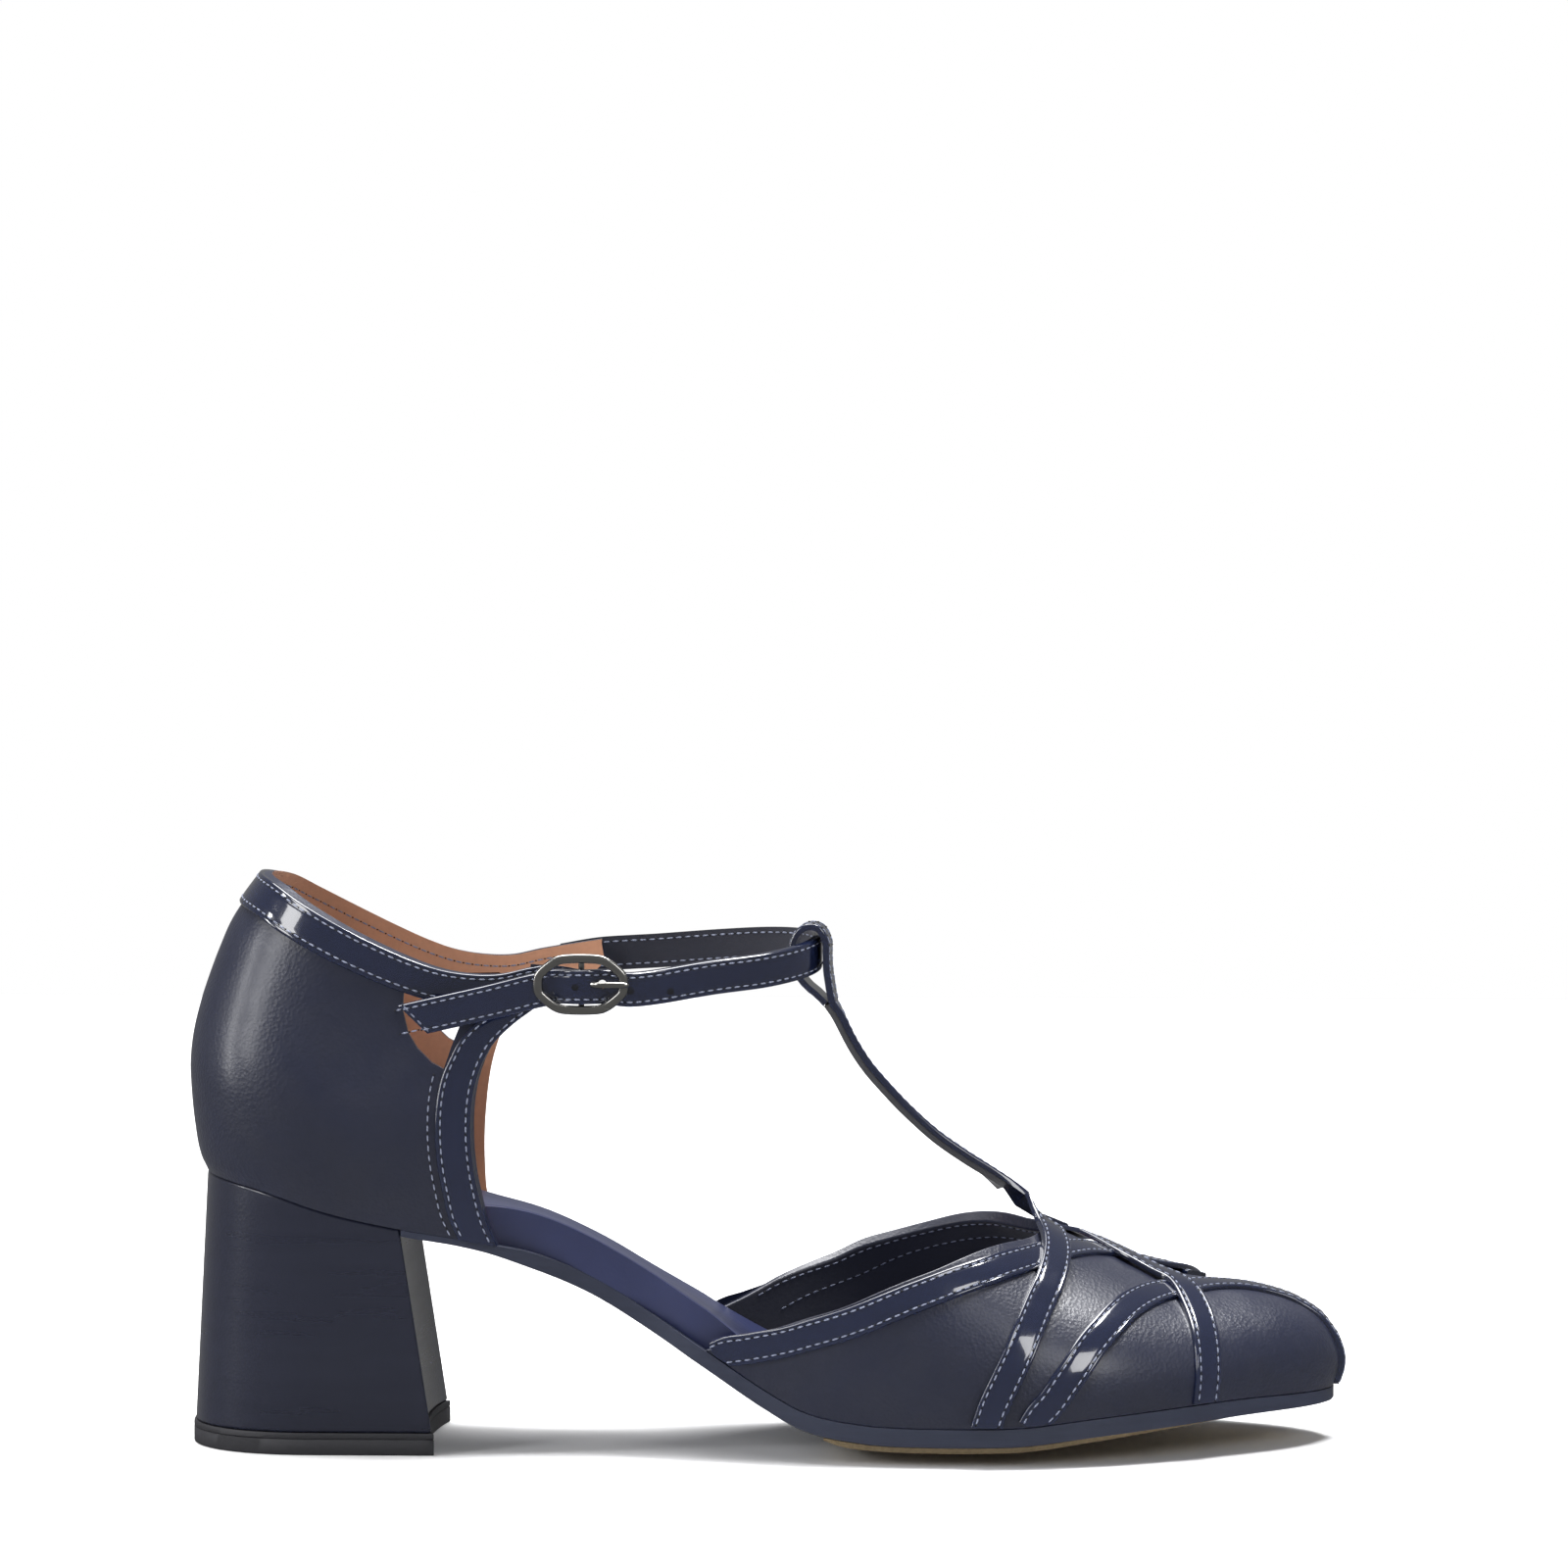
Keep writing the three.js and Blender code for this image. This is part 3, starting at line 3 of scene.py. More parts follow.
import bmesh
import bpy
import numpy as np
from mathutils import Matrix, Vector


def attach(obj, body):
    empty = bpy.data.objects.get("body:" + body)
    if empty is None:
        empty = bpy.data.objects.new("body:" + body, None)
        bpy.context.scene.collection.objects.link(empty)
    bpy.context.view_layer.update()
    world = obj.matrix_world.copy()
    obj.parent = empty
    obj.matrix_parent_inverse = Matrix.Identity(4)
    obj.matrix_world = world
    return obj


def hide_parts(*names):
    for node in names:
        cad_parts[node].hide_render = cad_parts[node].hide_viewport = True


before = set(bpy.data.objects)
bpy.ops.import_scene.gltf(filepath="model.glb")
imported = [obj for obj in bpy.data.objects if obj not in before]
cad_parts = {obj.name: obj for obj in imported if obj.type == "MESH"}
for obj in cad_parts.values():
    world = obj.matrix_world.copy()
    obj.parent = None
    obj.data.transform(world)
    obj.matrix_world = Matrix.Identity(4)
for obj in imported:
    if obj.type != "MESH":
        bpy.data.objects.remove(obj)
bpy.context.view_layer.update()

mm = 0.001

# Sizes of the last in millimetres, as the frame was built: +X to the toe, +Y to the medial side
last = {
    "length": 235.0, "cupBack": 25.0, "ball": 76.6, "swing": 9.0, "toeRound": 50.0, "seatRound": 26.0,
    "bulge": 1.5, "heel": 56.1, "spring": 3.6, "belly": 3.4, "feather": 7.9, "throat": 44.2, "throatAt": 174.5,
    "counter": 60.5, "lean": 15.3, "crown": 15.0, "rand": 3.3, "pull": 4.6, "tilt": 2.0,
}
upper = {"wall": 1.6, "strip": 6.2, "band": 6.2, "sink": 0.12}

feather = {
    "at": [0.014, 0.064, 0.131, 0.189, 0.24, 0.3, 0.349, 0.4, 0.451, 0.502, 0.536, 0.587, 0.651, 0.69, 0.723,
           0.787, 0.851, 0.915, 0.994],
    "half": [0.64, 0.64, 0.64, 0.64, 0.636, 0.618, 0.6, 0.602, 0.638, 0.712, 0.79, 0.888, 0.965, 0.987, 1.0,
             0.958, 0.875, 0.775, 0.7],
    "swing": [0, 0, 0, 0, -0.02, -0.06, -0.13, -0.2, -0.24, -0.22, -0.18, -0.08, 0.05, 0.12, 0.2, 0.38, 0.6,
              0.82, 1],
    "pitch": [1, 0.956, 0.857, 0.796, 0.757, 0.698, 0.597, 0.453, 0.299, 0.139, 0.055, 0.01, 0, 0, 0, 0, 0, 0, 0],
    "spring": [0, 0, 0, 0, 0, 0, 0, 0, 0, 0, 0, 0, 0, 0.02, 0.08, 0.5, 0.8, 0.97, 0.85],
    "belly": [0, 0, 0, 0, 0.1, 0.3, 0.45, 0.65, 0.8, 0.9, 0.95, 1, 1, 1, 1, 0.8, 0.5, 0.3, 0],
}
waist = {
    "at": [0.2, 0.24, 0.27, 0.305, 0.345, 0.395, 0.42, 0.438, 0.455, 0.5, 0.54],
    "pull": [0, 0, 0, 0.55, 1, 0.9, 0.5, 0.12, 0, 0, 0],
    "tilt": [0, 0.5, 0.9, 1, 1, 1, 1, 1, 1, 0.5, 0],
}
ridge = {
    "at": [0.43, 0.489, 0.532, 0.566, 0.6, 0.634, 0.668, 0.702, 0.728, 0.745, 0.787, 0.821, 0.855, 0.889, 0.923,
           0.957, 0.974, 0.983, 0.994],
    "height": [2.6, 2.414, 2.16, 1.862, 1.609, 1.437, 1.299, 1.161, 1.053, 1.0, 0.902, 0.834, 0.77, 0.738,
               0.706, 0.65, 0.6, 0.56, 0.48],
    "square": [2, 2, 2, 2, 2, 2, 2, 2, 2, 2, 2.05, 2.1, 2.15, 2.2, 2.2, 2.2, 2.2, 2.2, 2.2],
}
topline = {
    "girth": [0.0, 0.029, 0.058, 0.105, 0.145, 0.211, 0.272, 0.353, 0.4, 0.5],
    "back": [0.607, 0.655, 0.699, 0.767, 0.811, 0.879, 0.924, 0.969, 0.986, 1.0],
    "medial": [0.008, 0.014, 0.02, 0.024, 0.025, 0.021, 0.014, 0.006, 0.002, 0],
}
cup = {
    "rise": [0, 0.05, 0.165, 0.3, 0.365, 0.46, 0.565, 0.65, 0.75, 0.85, 1.0],
    "lean": [0.22, 0.13, 0.05, 0.005, 0, 0.04, 0.14, 0.25, 0.4, 0.58, 1.0],
    "side": [1, 1.025, 1.07, 1.09, 1.088, 1.07, 1.03, 0.995, 0.955, 0.92, 0.88],
}
collar = {
    "at": [0.064, 0.081, 0.1, 0.132, 0.166, 0.199, 0.224, 0.249, 0.274, 0.3, 0.36],
    "height": [1, 0.973, 0.928, 0.859, 0.793, 0.737, 0.705, 0.69, 0.69, 0.712, 0.752],
}
frontEdge = {
    "rise": [0, 0.08, 0.18, 0.28, 0.4, 0.54, 0.63, 0.71, 0.77, 0.82, 0.86, 0.9, 1.0],
    "front": [0.272, 0.264, 0.258, 0.2535, 0.251, 0.252, 0.256, 0.263, 0.2725, 0.287, 0.303, 0.317, 0.319],
    "rear": [0.239, 0.231, 0.226, 0.222, 0.22, 0.2215, 0.226, 0.2336, 0.2404, 0.25, 0.262, 0.272, 0.28],
    "medial": [-0.018, -0.016, -0.012, -0.008, -0.004, -0.001, 0, 0, 0, 0, 0, 0, 0],
    "tip": [0, 0, 0, 0, 0, 0, 0, 0, 0, 0.004, 0.013, 0.03, 0.034],
}
dropOutline = {
    "at": [0.1925, 0.1915, 0.196, 0.2043, 0.2166, 0.2268, 0.2336, 0.2404, 0.247, 0.2545, 0.266, 0.262, 0.225, 0.205],
    "up": [0.65, 0.57, 0.497, 0.444, 0.398, 0.376, 0.454, 0.52, 0.566, 0.598, 0.62, 0.629, 0.625, 0.636],
}
insoleRise = {
    "at": [0, 0.12, 0.24, 0.34, 0.45, 0.53, 0.6, 0.72, 1],
    "height": [0.76, 0.85, 0.96, 1, 1, 0.86, 0.67, 0.53, 0.45],
}
randTaper = {
    "at": [0.19, 0.26, 0.3, 0.35, 0.4, 0.82, 0.9, 0.994], "thick": [0.32, 0.45, 0.9, 1, 1, 1, 0.94, 0.7],
}


# The last's surfaces
def along(table, key, name, value):
    xs, ys = np.asarray(table[key], float), np.asarray(table[name], float)
    chords = np.diff(ys) / np.diff(xs)
    slopes = np.concatenate([chords[:1], 0.5 * (chords[1:] + chords[:-1]), chords[-1:]])
    v = np.clip(value, xs[0], xs[-1])
    i = np.clip(np.searchsorted(xs, v, side="right") - 1, 0, len(xs) - 2)
    span = xs[i + 1] - xs[i]
    t = (v - xs[i]) / span
    return (
        (2 * t**3 - 3 * t**2 + 1) * ys[i] + (t**3 - 2 * t**2 + t) * span * slopes[i]
        + (3 * t**2 - 2 * t**3) * ys[i + 1] + (t**3 - t**2) * span * slopes[i + 1]
    )


def shareOf(x):
    return (np.asarray(x, float) + last["cupBack"]) / last["length"]


def placeOf(share):
    return np.asarray(share, float) * last["length"] - last["cupBack"]


def closing(distance, length, power=2.0):
    left = 1 - np.clip(np.asarray(distance, float) / length, 0, 1)
    return (1 - left**power) ** (1 / power)


toeTip = float(placeOf(0.994))
seatBack = float(placeOf(0.014))
cupFront = float(placeOf(0.36))
cupFoot = float(placeOf(0.272))
vampBack = last["throatAt"] * topline["back"][0] - last["cupBack"]
formBack = float(placeOf(ridge["at"][0])) - upper["strip"]


def centreY(x):
    return last["swing"] * along(feather, "at", "swing", shareOf(x))


def edgeZ(x):
    rise = last["heel"] - last["feather"]
    share = shareOf(x)
    pitch, spring = along(feather, "at", "pitch", share), along(feather, "at", "spring", share)
    return last["feather"] + rise * pitch + last["spring"] * spring


def bellyOf(x):
    return last["belly"] * along(feather, "at", "belly", shareOf(x))


def openHalf(x):
    return last["ball"] / 2 * along(feather, "at", "half", shareOf(x))


def soleHalf(x):
    return openHalf(x) - last["pull"] * along(waist, "at", "pull", shareOf(x))


def halfAt(x):
    return soleHalf(x) * closing(toeTip - x, last["toeRound"]) * closing(x - seatBack, last["seatRound"])


def vampPoint(x, girth, grow=0.0):
    x, girth = np.broadcast_arrays(np.asarray(x, float), np.asarray(girth, float))
    reach = toeTip + grow
    at = np.clip(x, formBack, reach)
    half = (openHalf(at) + grow) * closing(reach - at, last["toeRound"])
    top = last["throat"] * along(ridge, "at", "height", shareOf(at - grow)) + grow
    square = 2 / along(ridge, "at", "square", shareOf(at))
    angle = math.pi * np.clip(girth, 0, 1)
    cos, sin = np.cos(angle), np.maximum(np.sin(angle), 0)
    low = edgeZ(at)
    out = -np.sign(cos) * np.abs(cos) ** square
    up = sin**square
    swell = last["bulge"] * np.sin(math.pi * np.clip(up, 0, 1))
    toeward = np.clip(1 - (reach - at) / last["toeRound"], 0, 1) ** 3
    below = np.minimum(np.minimum(girth, 1 - girth), 0) * last["ball"]
    sideways = np.where(np.abs(out) < 1e-9, 0, np.sign(out) * np.sqrt(1 - toeward))
    return np.stack([
        at + swell * toeward,
        centreY(at) + out * half + sideways * swell * np.minimum(1, half / 6),
        low + (top - low) * up + below,
    ], -1)


def medialReach(girth):
    # the topline reaches further back on the medial side
    girth = np.asarray(girth, float)
    return np.where(girth > 0.5, last["throatAt"] * along(topline, "girth", "medial", 1 - girth), 0.0)


def toplineX(girth):
    back = along(topline, "girth", "back", np.minimum(girth, 1 - np.asarray(girth)))
    return last["throatAt"] * back - last["cupBack"] - medialReach(girth)


def cupLeanAt(rise):
    return last["lean"] * along(cup, "rise", "lean", rise) - last["cupBack"]


def cupPoint(turn, rise, grow=0.0):
    turn, rise = np.broadcast_arrays(np.asarray(turn, float), np.asarray(rise, float))
    reach = turn * turn

    def span(share):
        lean = cupLeanAt(share)
        return lean + (cupFront - lean) * reach

    x = span(rise) - grow * (1 - reach)
    low = edgeZ(span(0.0))
    high = last["heel"] + last["counter"] * along(collar, "at", "height", shareOf(span(1.0)))
    half = openHalf(x) * along(cup, "rise", "side", rise) + grow
    y = centreY(x) + np.sign(turn) * half * closing(x + grow - cupLeanAt(rise), last["seatRound"] + grow, 2.2)
    return np.stack([x, y, low + (high - low) * rise], -1)


def turnAt(x, rise):
    lean = cupLeanAt(rise)
    return np.sqrt(np.maximum((x - lean) / (cupFront - lean), 0))


def cupHeight(turn):
    return cupPoint(turn, 1.0)[..., 2] - cupPoint(turn, 0.0)[..., 2]


def edgePlace(column, rise, side):
    # the front edge's place along the shoe, on the side of -1 or 1
    shift = np.where(np.asarray(side) > 0, along(frontEdge, "rise", "medial", rise), 0.0)
    return placeOf(along(frontEdge, "rise", column, rise) + shift)


def quarterTurn(rise, side):
    tip = np.where(np.asarray(side) > 0, along(frontEdge, "rise", "tip", rise), 0.0) * last["length"]
    return side * turnAt(edgePlace("front", rise, side) + tip, rise)


def roundTurn(share, rise):
    side = np.where(np.asarray(share) < 0.5, -1.0, 1.0)
    return np.abs(2 * np.asarray(share) - 1) * quarterTurn(rise, side)


def randBottom(x, v):
    thick = last["rand"] * along(randTaper, "at", "thick", shareOf(x))
    return edgeZ(x) - 0.3 - thick - bellyOf(x) * (1 - v * v)


# Small vector helpers on arrays of points
def unit(v):
    return v / np.maximum(np.linalg.norm(v, axis=-1, keepdims=True), 1e-9)


def smoothRows(rows, perSpan):
    rows = np.asarray(rows, float)
    padded = np.concatenate([rows[:1], rows, rows[-1:]])
    made = []
    for i in range(len(rows) - 1):
        a, b, c, d = padded[i:i + 4]
        for t in np.arange(perSpan) / perSpan:
            curve = (2 * a - 5 * b + 4 * c - d) * t**2 + (3 * b - a - 3 * c + d) * t**3
            made.append(0.5 * (2 * b + (c - a) * t + curve))
    made.append(rows[-1])
    return np.array(made)


def headings(points):
    ahead = np.concatenate([points[1:], points[-1:]])
    behind = np.concatenate([points[:1], points[:-1]])
    return unit(ahead - behind)


def surfaceFrame(surface, a, b, da=0.05, db=0.0005):
    alongA = (surface(a + da, b) - surface(a - da, b)) / (2 * da)
    alongB = (surface(a, b + db) - surface(a, b - db)) / (2 * db)
    return surface(a, b), unit(np.cross(alongA, alongB)), alongA, alongB


def walk(a, b, step):
    # places on the vamp's form a small step in space away
    target = surfaceFrame(vampPoint, a, b)[0] + step
    for _ in range(5):
        point, _, alongA, alongB = surfaceFrame(vampPoint, a, b)
        miss = target - point
        aa, ab, bb = (alongA**2).sum(-1), (alongA * alongB).sum(-1), (alongB**2).sum(-1)
        ma, mb = (miss * alongA).sum(-1), (miss * alongB).sum(-1)
        det = np.maximum(aa * bb - ab * ab, 1e-9)
        a, b = a + (ma * bb - mb * ab) / det, b + (mb * aa - ma * ab) / det
    return a, b


# Meshes
def meshPiece(name, points, faces, materials, faceMaterial=None):
    mesh = bpy.data.meshes.new(name)
    mesh.from_pydata((np.asarray(points) * mm).tolist(), [], faces)
    for material in materials:
        mesh.materials.append(material)
    if faceMaterial is not None:
        mesh.polygons.foreach_set("material_index", faceMaterial)
    mesh.update()
    mesh.shade_smooth()
    piece = bpy.data.objects.new(name, mesh)
    bpy.context.scene.collection.objects.link(piece)
    return piece


def tidyMesh(piece, sharpAngle=50, merge=0.01):
    mesh = piece.data
    work = bmesh.new()
    work.from_mesh(mesh)
    bmesh.ops.remove_doubles(work, verts=work.verts, dist=merge * mm)
    bmesh.ops.dissolve_degenerate(work, dist=0.001 * mm, edges=work.edges)
    bmesh.ops.recalc_face_normals(work, faces=work.faces)
    work.to_mesh(mesh)
    work.free()
    mesh.shade_smooth()
    mesh.set_sharp_from_angle(angle=math.radians(sharpAngle))
    return piece


def gridShell(name, outer, inner, materials):
    # closed wall between two grids; the rim takes the outer side's material
    rows, columns = outer.shape[:2]
    count = rows * columns
    ids = np.arange(count).reshape(rows, columns)

    def quads(grid, flip):
        a, b, c, d = grid[:-1, :-1], grid[1:, :-1], grid[1:, 1:], grid[:-1, 1:]
        order = (a, d, c, b) if flip else (a, b, c, d)
        return np.stack([part.ravel() for part in order], -1).tolist()

    faces = quads(ids, False)
    mats = [0] * len(faces)
    inside = quads(ids + count, True)
    faces += inside
    mats += [1 if len(materials) > 1 else 0] * len(inside)
    border = list(ids[0, :-1]) + list(ids[:-1, -1]) + list(ids[-1, :0:-1]) + list(ids[:0:-1, 0])
    for p, q in zip(border, border[1:] + border[:1]):
        faces.append([int(p), int(q), int(q) + count, int(p) + count])
        mats.append(0)
    points = np.concatenate([outer.reshape(-1, 3), inner.reshape(-1, 3)])
    piece = meshPiece(name, points, faces, materials, mats)
    return piece


def loft(name, rings, materials, sides=None):
    # closed tube through rings of points, with flat ends; sides gives a material for each side of the ring
    count, around = rings.shape[:2]
    ids = np.arange(count * around).reshape(count, around)
    faces, mats = [], []
    for j in range(around):
        k = (j + 1) % around
        for i in range(count - 1):
            faces.append([int(ids[i, j]), int(ids[i, k]), int(ids[i + 1, k]), int(ids[i + 1, j])])
            mats.append(sides[j] if sides else 0)
    faces += [ids[0, ::-1].tolist(), ids[-1].tolist()]
    mats += [0, 0]
    return tidyMesh(meshPiece(name, rings.reshape(-1, 3), faces, materials, mats), 60, 0.002)


def modified(piece, kind, name, **settings):
    made = piece.modifiers.new(name, kind)
    for key, value in settings.items():
        setattr(made, key, value)
    return made


def softEdges(piece, width, segments, angle):
    turn = math.radians(angle)
    modified(piece, "BEVEL", "edges", width=width * mm, segments=segments, limit_method="ANGLE", angle_limit=turn)


def applyAll(piece):
    evaluated = piece.evaluated_get(bpy.context.evaluated_depsgraph_get())
    mesh = bpy.data.meshes.new_from_object(evaluated)
    piece.modifiers.clear()
    piece.data = mesh
    return piece


def cutBy(piece, cutter):
    modified(piece, "BOOLEAN", "cut", operation="DIFFERENCE", object=cutter, solver="MANIFOLD")
    applyAll(piece)
    bpy.data.objects.remove(cutter)
    return piece


def keepPiece(piece, slotName, *nodeNames):
    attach(piece, "root")
    if nodeNames:
        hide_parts(*nodeNames)
    return piece


# Shader maths
class Wire:
    def __init__(self, tree, socket):
        self.tree, self.socket = tree, socket

    def maths(self, operation, a, b=None, clamp=False):
        node = self.tree.nodes.new("ShaderNodeMath")
        node.operation = operation
        node.use_clamp = clamp
        for place, value in enumerate((a, b)):
            if isinstance(value, Wire):
                self.tree.links.new(value.socket, node.inputs[place])
            elif value is not None:
                node.inputs[place].default_value = value
        return Wire(self.tree, node.outputs[0])

    def __add__(self, other):
        return self.maths("ADD", self, other)

    def __radd__(self, other):
        return self.maths("ADD", other, self)

    def __sub__(self, other):
        return self.maths("SUBTRACT", self, other)

    def __rsub__(self, other):
        return self.maths("SUBTRACT", other, self)

    def __mul__(self, other):
        return self.maths("MULTIPLY", self, other)

    def __rmul__(self, other):
        return self.maths("MULTIPLY", other, self)

    def __truediv__(self, other):
        return self.maths("DIVIDE", self, other)

    def __rtruediv__(self, other):
        return self.maths("DIVIDE", other, self)

    def __pow__(self, other):
        return self.maths("POWER", self, other)

    def __rpow__(self, other):
        return self.maths("POWER", other, self)

    def __neg__(self):
        return self.maths("MULTIPLY", self, -1.0)

    def limited(self):
        return self.maths("MULTIPLY", self, 1.0, clamp=True)


class Finish:
    # one material, its Principled shader and a way to add any other node
    def __init__(self, name, colour, roughness, **sockets):
        self.material = bpy.data.materials.new(name)
        self.material.use_nodes = True
        self.tree = self.material.node_tree
        self.shader = self.tree.nodes["Principled BSDF"]
        self.base = (*colour, 1.0)
        self.shader.inputs["Base Color"].default_value = self.base
        self.shader.inputs["Roughness"].default_value = roughness
        for key, value in sockets.items():
            self.shader.inputs[key].default_value = value
        self.material.diffuse_color = self.base
        self.place = self.add("ShaderNodeTexCoord", output="Object")

    def add(self, kind, settings=None, output=0, **inputs):
        node = self.tree.nodes.new(kind)
        for key, value in (settings or {}).items():
            if key == "stops":
                ramp = node.color_ramp
                while len(ramp.elements) > 1:
                    ramp.elements.remove(ramp.elements[-1])
                ramp.elements[0].position, ramp.elements[0].color = value[0]
                for position, tint in value[1:]:
                    ramp.elements.new(position).color = tint
            else:
                setattr(node, key, value)
        for key, value in inputs.items():
            socket = node.inputs[int(key[1:])] if key[1:].isdigit() else node.inputs[key]
            if isinstance(value, Wire):
                self.tree.links.new(value.socket, socket)
            else:
                socket.default_value = value
        return Wire(self.tree, node.outputs[output])

    def stretched(self, scale, turn=(0, 0, 0)):
        return self.add("ShaderNodeMapping", Vector=self.place, Scale=scale, Rotation=turn)

    def noise(self, scale, detail=3.0, rough=0.5, at=None):
        return self.add("ShaderNodeTexNoise", Vector=at or self.place, Scale=scale, Detail=detail, Roughness=rough)

    def cells(self, scale, feature="F1", at=None):
        return self.add("ShaderNodeTexVoronoi", {"feature": feature}, "Distance", Vector=at or self.place, Scale=scale)

    def between(self, value, low, high, start=0.0, stop=1.0):
        # remaps a wire to a range, clamped
        return self.add("ShaderNodeMapRange", None, 0, Value=value, s1=start, s2=stop, s3=low, s4=high)

    def blend(self, factor, first, second):
        node = self.tree.nodes.new("ShaderNodeMix")
        node.data_type = "RGBA"
        for place, value in ((0, factor), (6, first), (7, second)):
            if isinstance(value, Wire):
                self.tree.links.new(value.socket, node.inputs[place])
            else:
                node.inputs[place].default_value = value
        return Wire(self.tree, node.outputs[2])

    def drive(self, socket, wire):
        self.tree.links.new(wire.socket, self.shader.inputs[socket])
        return self

    def shade(self, mask, colour, dark, light):
        # base colour between a darker and a lighter share of one colour
        return self.drive("Base Color", self.blend(mask, tinted(colour, dark), tinted(colour, light)))

    def relief(self, height, depth, strength=1.0):
        # depth in millimetres for a height of one
        bump = self.add("ShaderNodeBump", None, 0, Height=height, Distance=depth * mm, Strength=strength)
        return self.drive("Normal", bump)


def paint(red, green, blue):
    # a screen colour from 0 to 255 as the renderer's linear one
    return tuple((v / 255 / 12.92) if v <= 10 else ((v / 255 + 0.055) / 1.055) ** 2.4 for v in (red, green, blue))


def tinted(colour, share):
    return (*(min(1.0, v * share) for v in colour), 1.0)


# Leathers, threads and the rest
tones = {
    "nappa": paint(27, 31, 50), "patent": paint(20, 26, 48), "tan": paint(186, 136, 106), "navyLining": paint(28, 31, 46),
    "sock": paint(38, 44, 78), "soleEdge": paint(36, 42, 62), "tread": paint(122, 106, 78), "heel": paint(26, 29, 45),
    "topPiece": paint(40, 40, 45), "thread": paint(126, 132, 152), "backing": paint(58, 58, 62),
    # the darkest tone, for the needle holes, is painted shade: the holes' depth shown as a near-black colour
    "metal": paint(158, 157, 154), "holeShade": paint(14, 15, 22),
}


def grained(finish, scale, depth, wrinkle=0.0):
    # fine leather grain of small rounded cells, with pores and long soft wrinkles
    cells = finish.cells(scale)
    fine = finish.noise(scale * 2.2, 4.0, 0.6)
    height = cells * 0.7 + fine * 0.5
    if wrinkle:
        creases = finish.noise(60.0, 3.0, 0.55, finish.stretched((1.6, 0.5, 0.35), (0, 0.2, 0)))
        height = height + creases * wrinkle
    finish.relief(height, depth)
    return height


def nappaFinish(name, wrinkle=1.0):
    finish = Finish(name, tones["nappa"], 0.4, **{"Coat Weight": 0.45, "Coat Roughness": 0.26})
    cloud = finish.noise(45.0, 3.0, 0.55)
    finish.shade(cloud, tones["nappa"], 0.82, 1.2)
    finish.drive("Roughness", finish.between(finish.noise(160.0, 4.0, 0.6), 0.33, 0.46, 0.3, 0.7))
    grained(finish, 1300.0, 0.1, wrinkle)
    return finish.material


def patentFinish(name="patent leather"):
    finish = Finish(name, tones["patent"], 0.16, **{"Coat Weight": 1.0, "Coat Roughness": 0.03, "Coat IOR": 1.6})
    cloud = finish.noise(70.0, 2.0, 0.5)
    finish.shade(cloud, tones["patent"], 0.85, 1.2)
    finish.drive("Roughness", finish.between(finish.noise(300.0, 2.0), 0.1, 0.2))
    ripple = finish.noise(180.0, 2.0, 0.4) + finish.noise(600.0, 1.0) * 0.15
    finish.relief(ripple, 0.12)
    return finish.material


def suedeFinish(name, tone, roughness=0.85):
    finish = Finish(name, tones[tone], roughness, **{"Sheen Weight": 0.25, "Sheen Roughness": 0.5})
    nap = finish.noise(900.0, 5.0, 0.65)
    patches = finish.noise(110.0, 3.0, 0.6)
    finish.shade((nap * 0.6 + patches * 0.4), tones[tone], 0.74, 1.24)
    finish.drive("Roughness", finish.between(nap, roughness - 0.1, roughness + 0.08))
    finish.relief(nap, 0.09)
    return finish.material


def sockFinish():
    finish = Finish("sock leather", tones["sock"], 0.35, **{"Coat Weight": 0.35, "Coat Roughness": 0.2})
    cloud = finish.noise(60.0, 3.0, 0.55)
    finish.shade(cloud, tones["sock"], 0.8, 1.25)
    finish.drive("Roughness", finish.between(finish.noise(400.0, 3.0), 0.28, 0.42))
    grained(finish, 1300.0, 0.03)
    return finish.material


def soleFinish():
    finish = Finish("sole edge", tones["soleEdge"], 0.5, **{"Coat Weight": 0.15, "Coat Roughness": 0.35})
    streaks = finish.noise(120.0, 4.0, 0.6, finish.stretched((1, 1, 9)))
    finish.shade(streaks, tones["soleEdge"], 0.8, 1.22)
    finish.drive("Roughness", finish.between(streaks, 0.42, 0.6))
    finish.relief(streaks + finish.noise(1400.0, 2.0) * 0.3, 0.05)
    return finish.material


def treadFinish():
    finish = Finish("tread rubber", tones["tread"], 0.75)
    specks = finish.noise(700.0, 4.0, 0.6)
    ribs = finish.add("ShaderNodeTexWave", {"bands_direction": "X"}, 1, Vector=finish.place, Scale=190.0, Distortion=0.4)
    finish.shade(specks, tones["tread"], 0.78, 1.18)
    finish.drive("Roughness", finish.between(specks, 0.66, 0.84))
    finish.relief(ribs * 0.7 + specks * 0.3, 0.22)
    return finish.material


def heelFinish():
    finish = Finish("heel cover", tones["heel"], 0.3, **{"Coat Weight": 0.5, "Coat Roughness": 0.16})
    streaks = finish.noise(60.0, 3.0, 0.5, finish.stretched((0.5, 0.5, 5)))
    finish.shade(streaks, tones["heel"], 0.84, 1.2)
    finish.drive("Roughness", finish.between(streaks, 0.22, 0.36))
    grained(finish, 1500.0, 0.03)
    return finish.material


def rubberFinish():
    finish = Finish("top piece rubber", tones["topPiece"], 0.62)
    specks = finish.noise(900.0, 4.0, 0.6)
    finish.shade(specks, tones["topPiece"], 0.75, 1.25)
    finish.drive("Roughness", finish.between(specks, 0.52, 0.72))
    finish.relief(specks, 0.06)
    return finish.material


def threadFinish(name, tone):
    finish = Finish(name, tones[tone], 0.6)
    twist = finish.add("ShaderNodeTexWave", {"bands_direction": "DIAGONAL"}, 1, Vector=finish.place, Scale=900.0)
    finish.shade(twist, tones[tone], 0.7, 1.15)
    finish.drive("Roughness", finish.between(twist, 0.5, 0.7))
    finish.relief(twist, 0.05)
    return finish.material


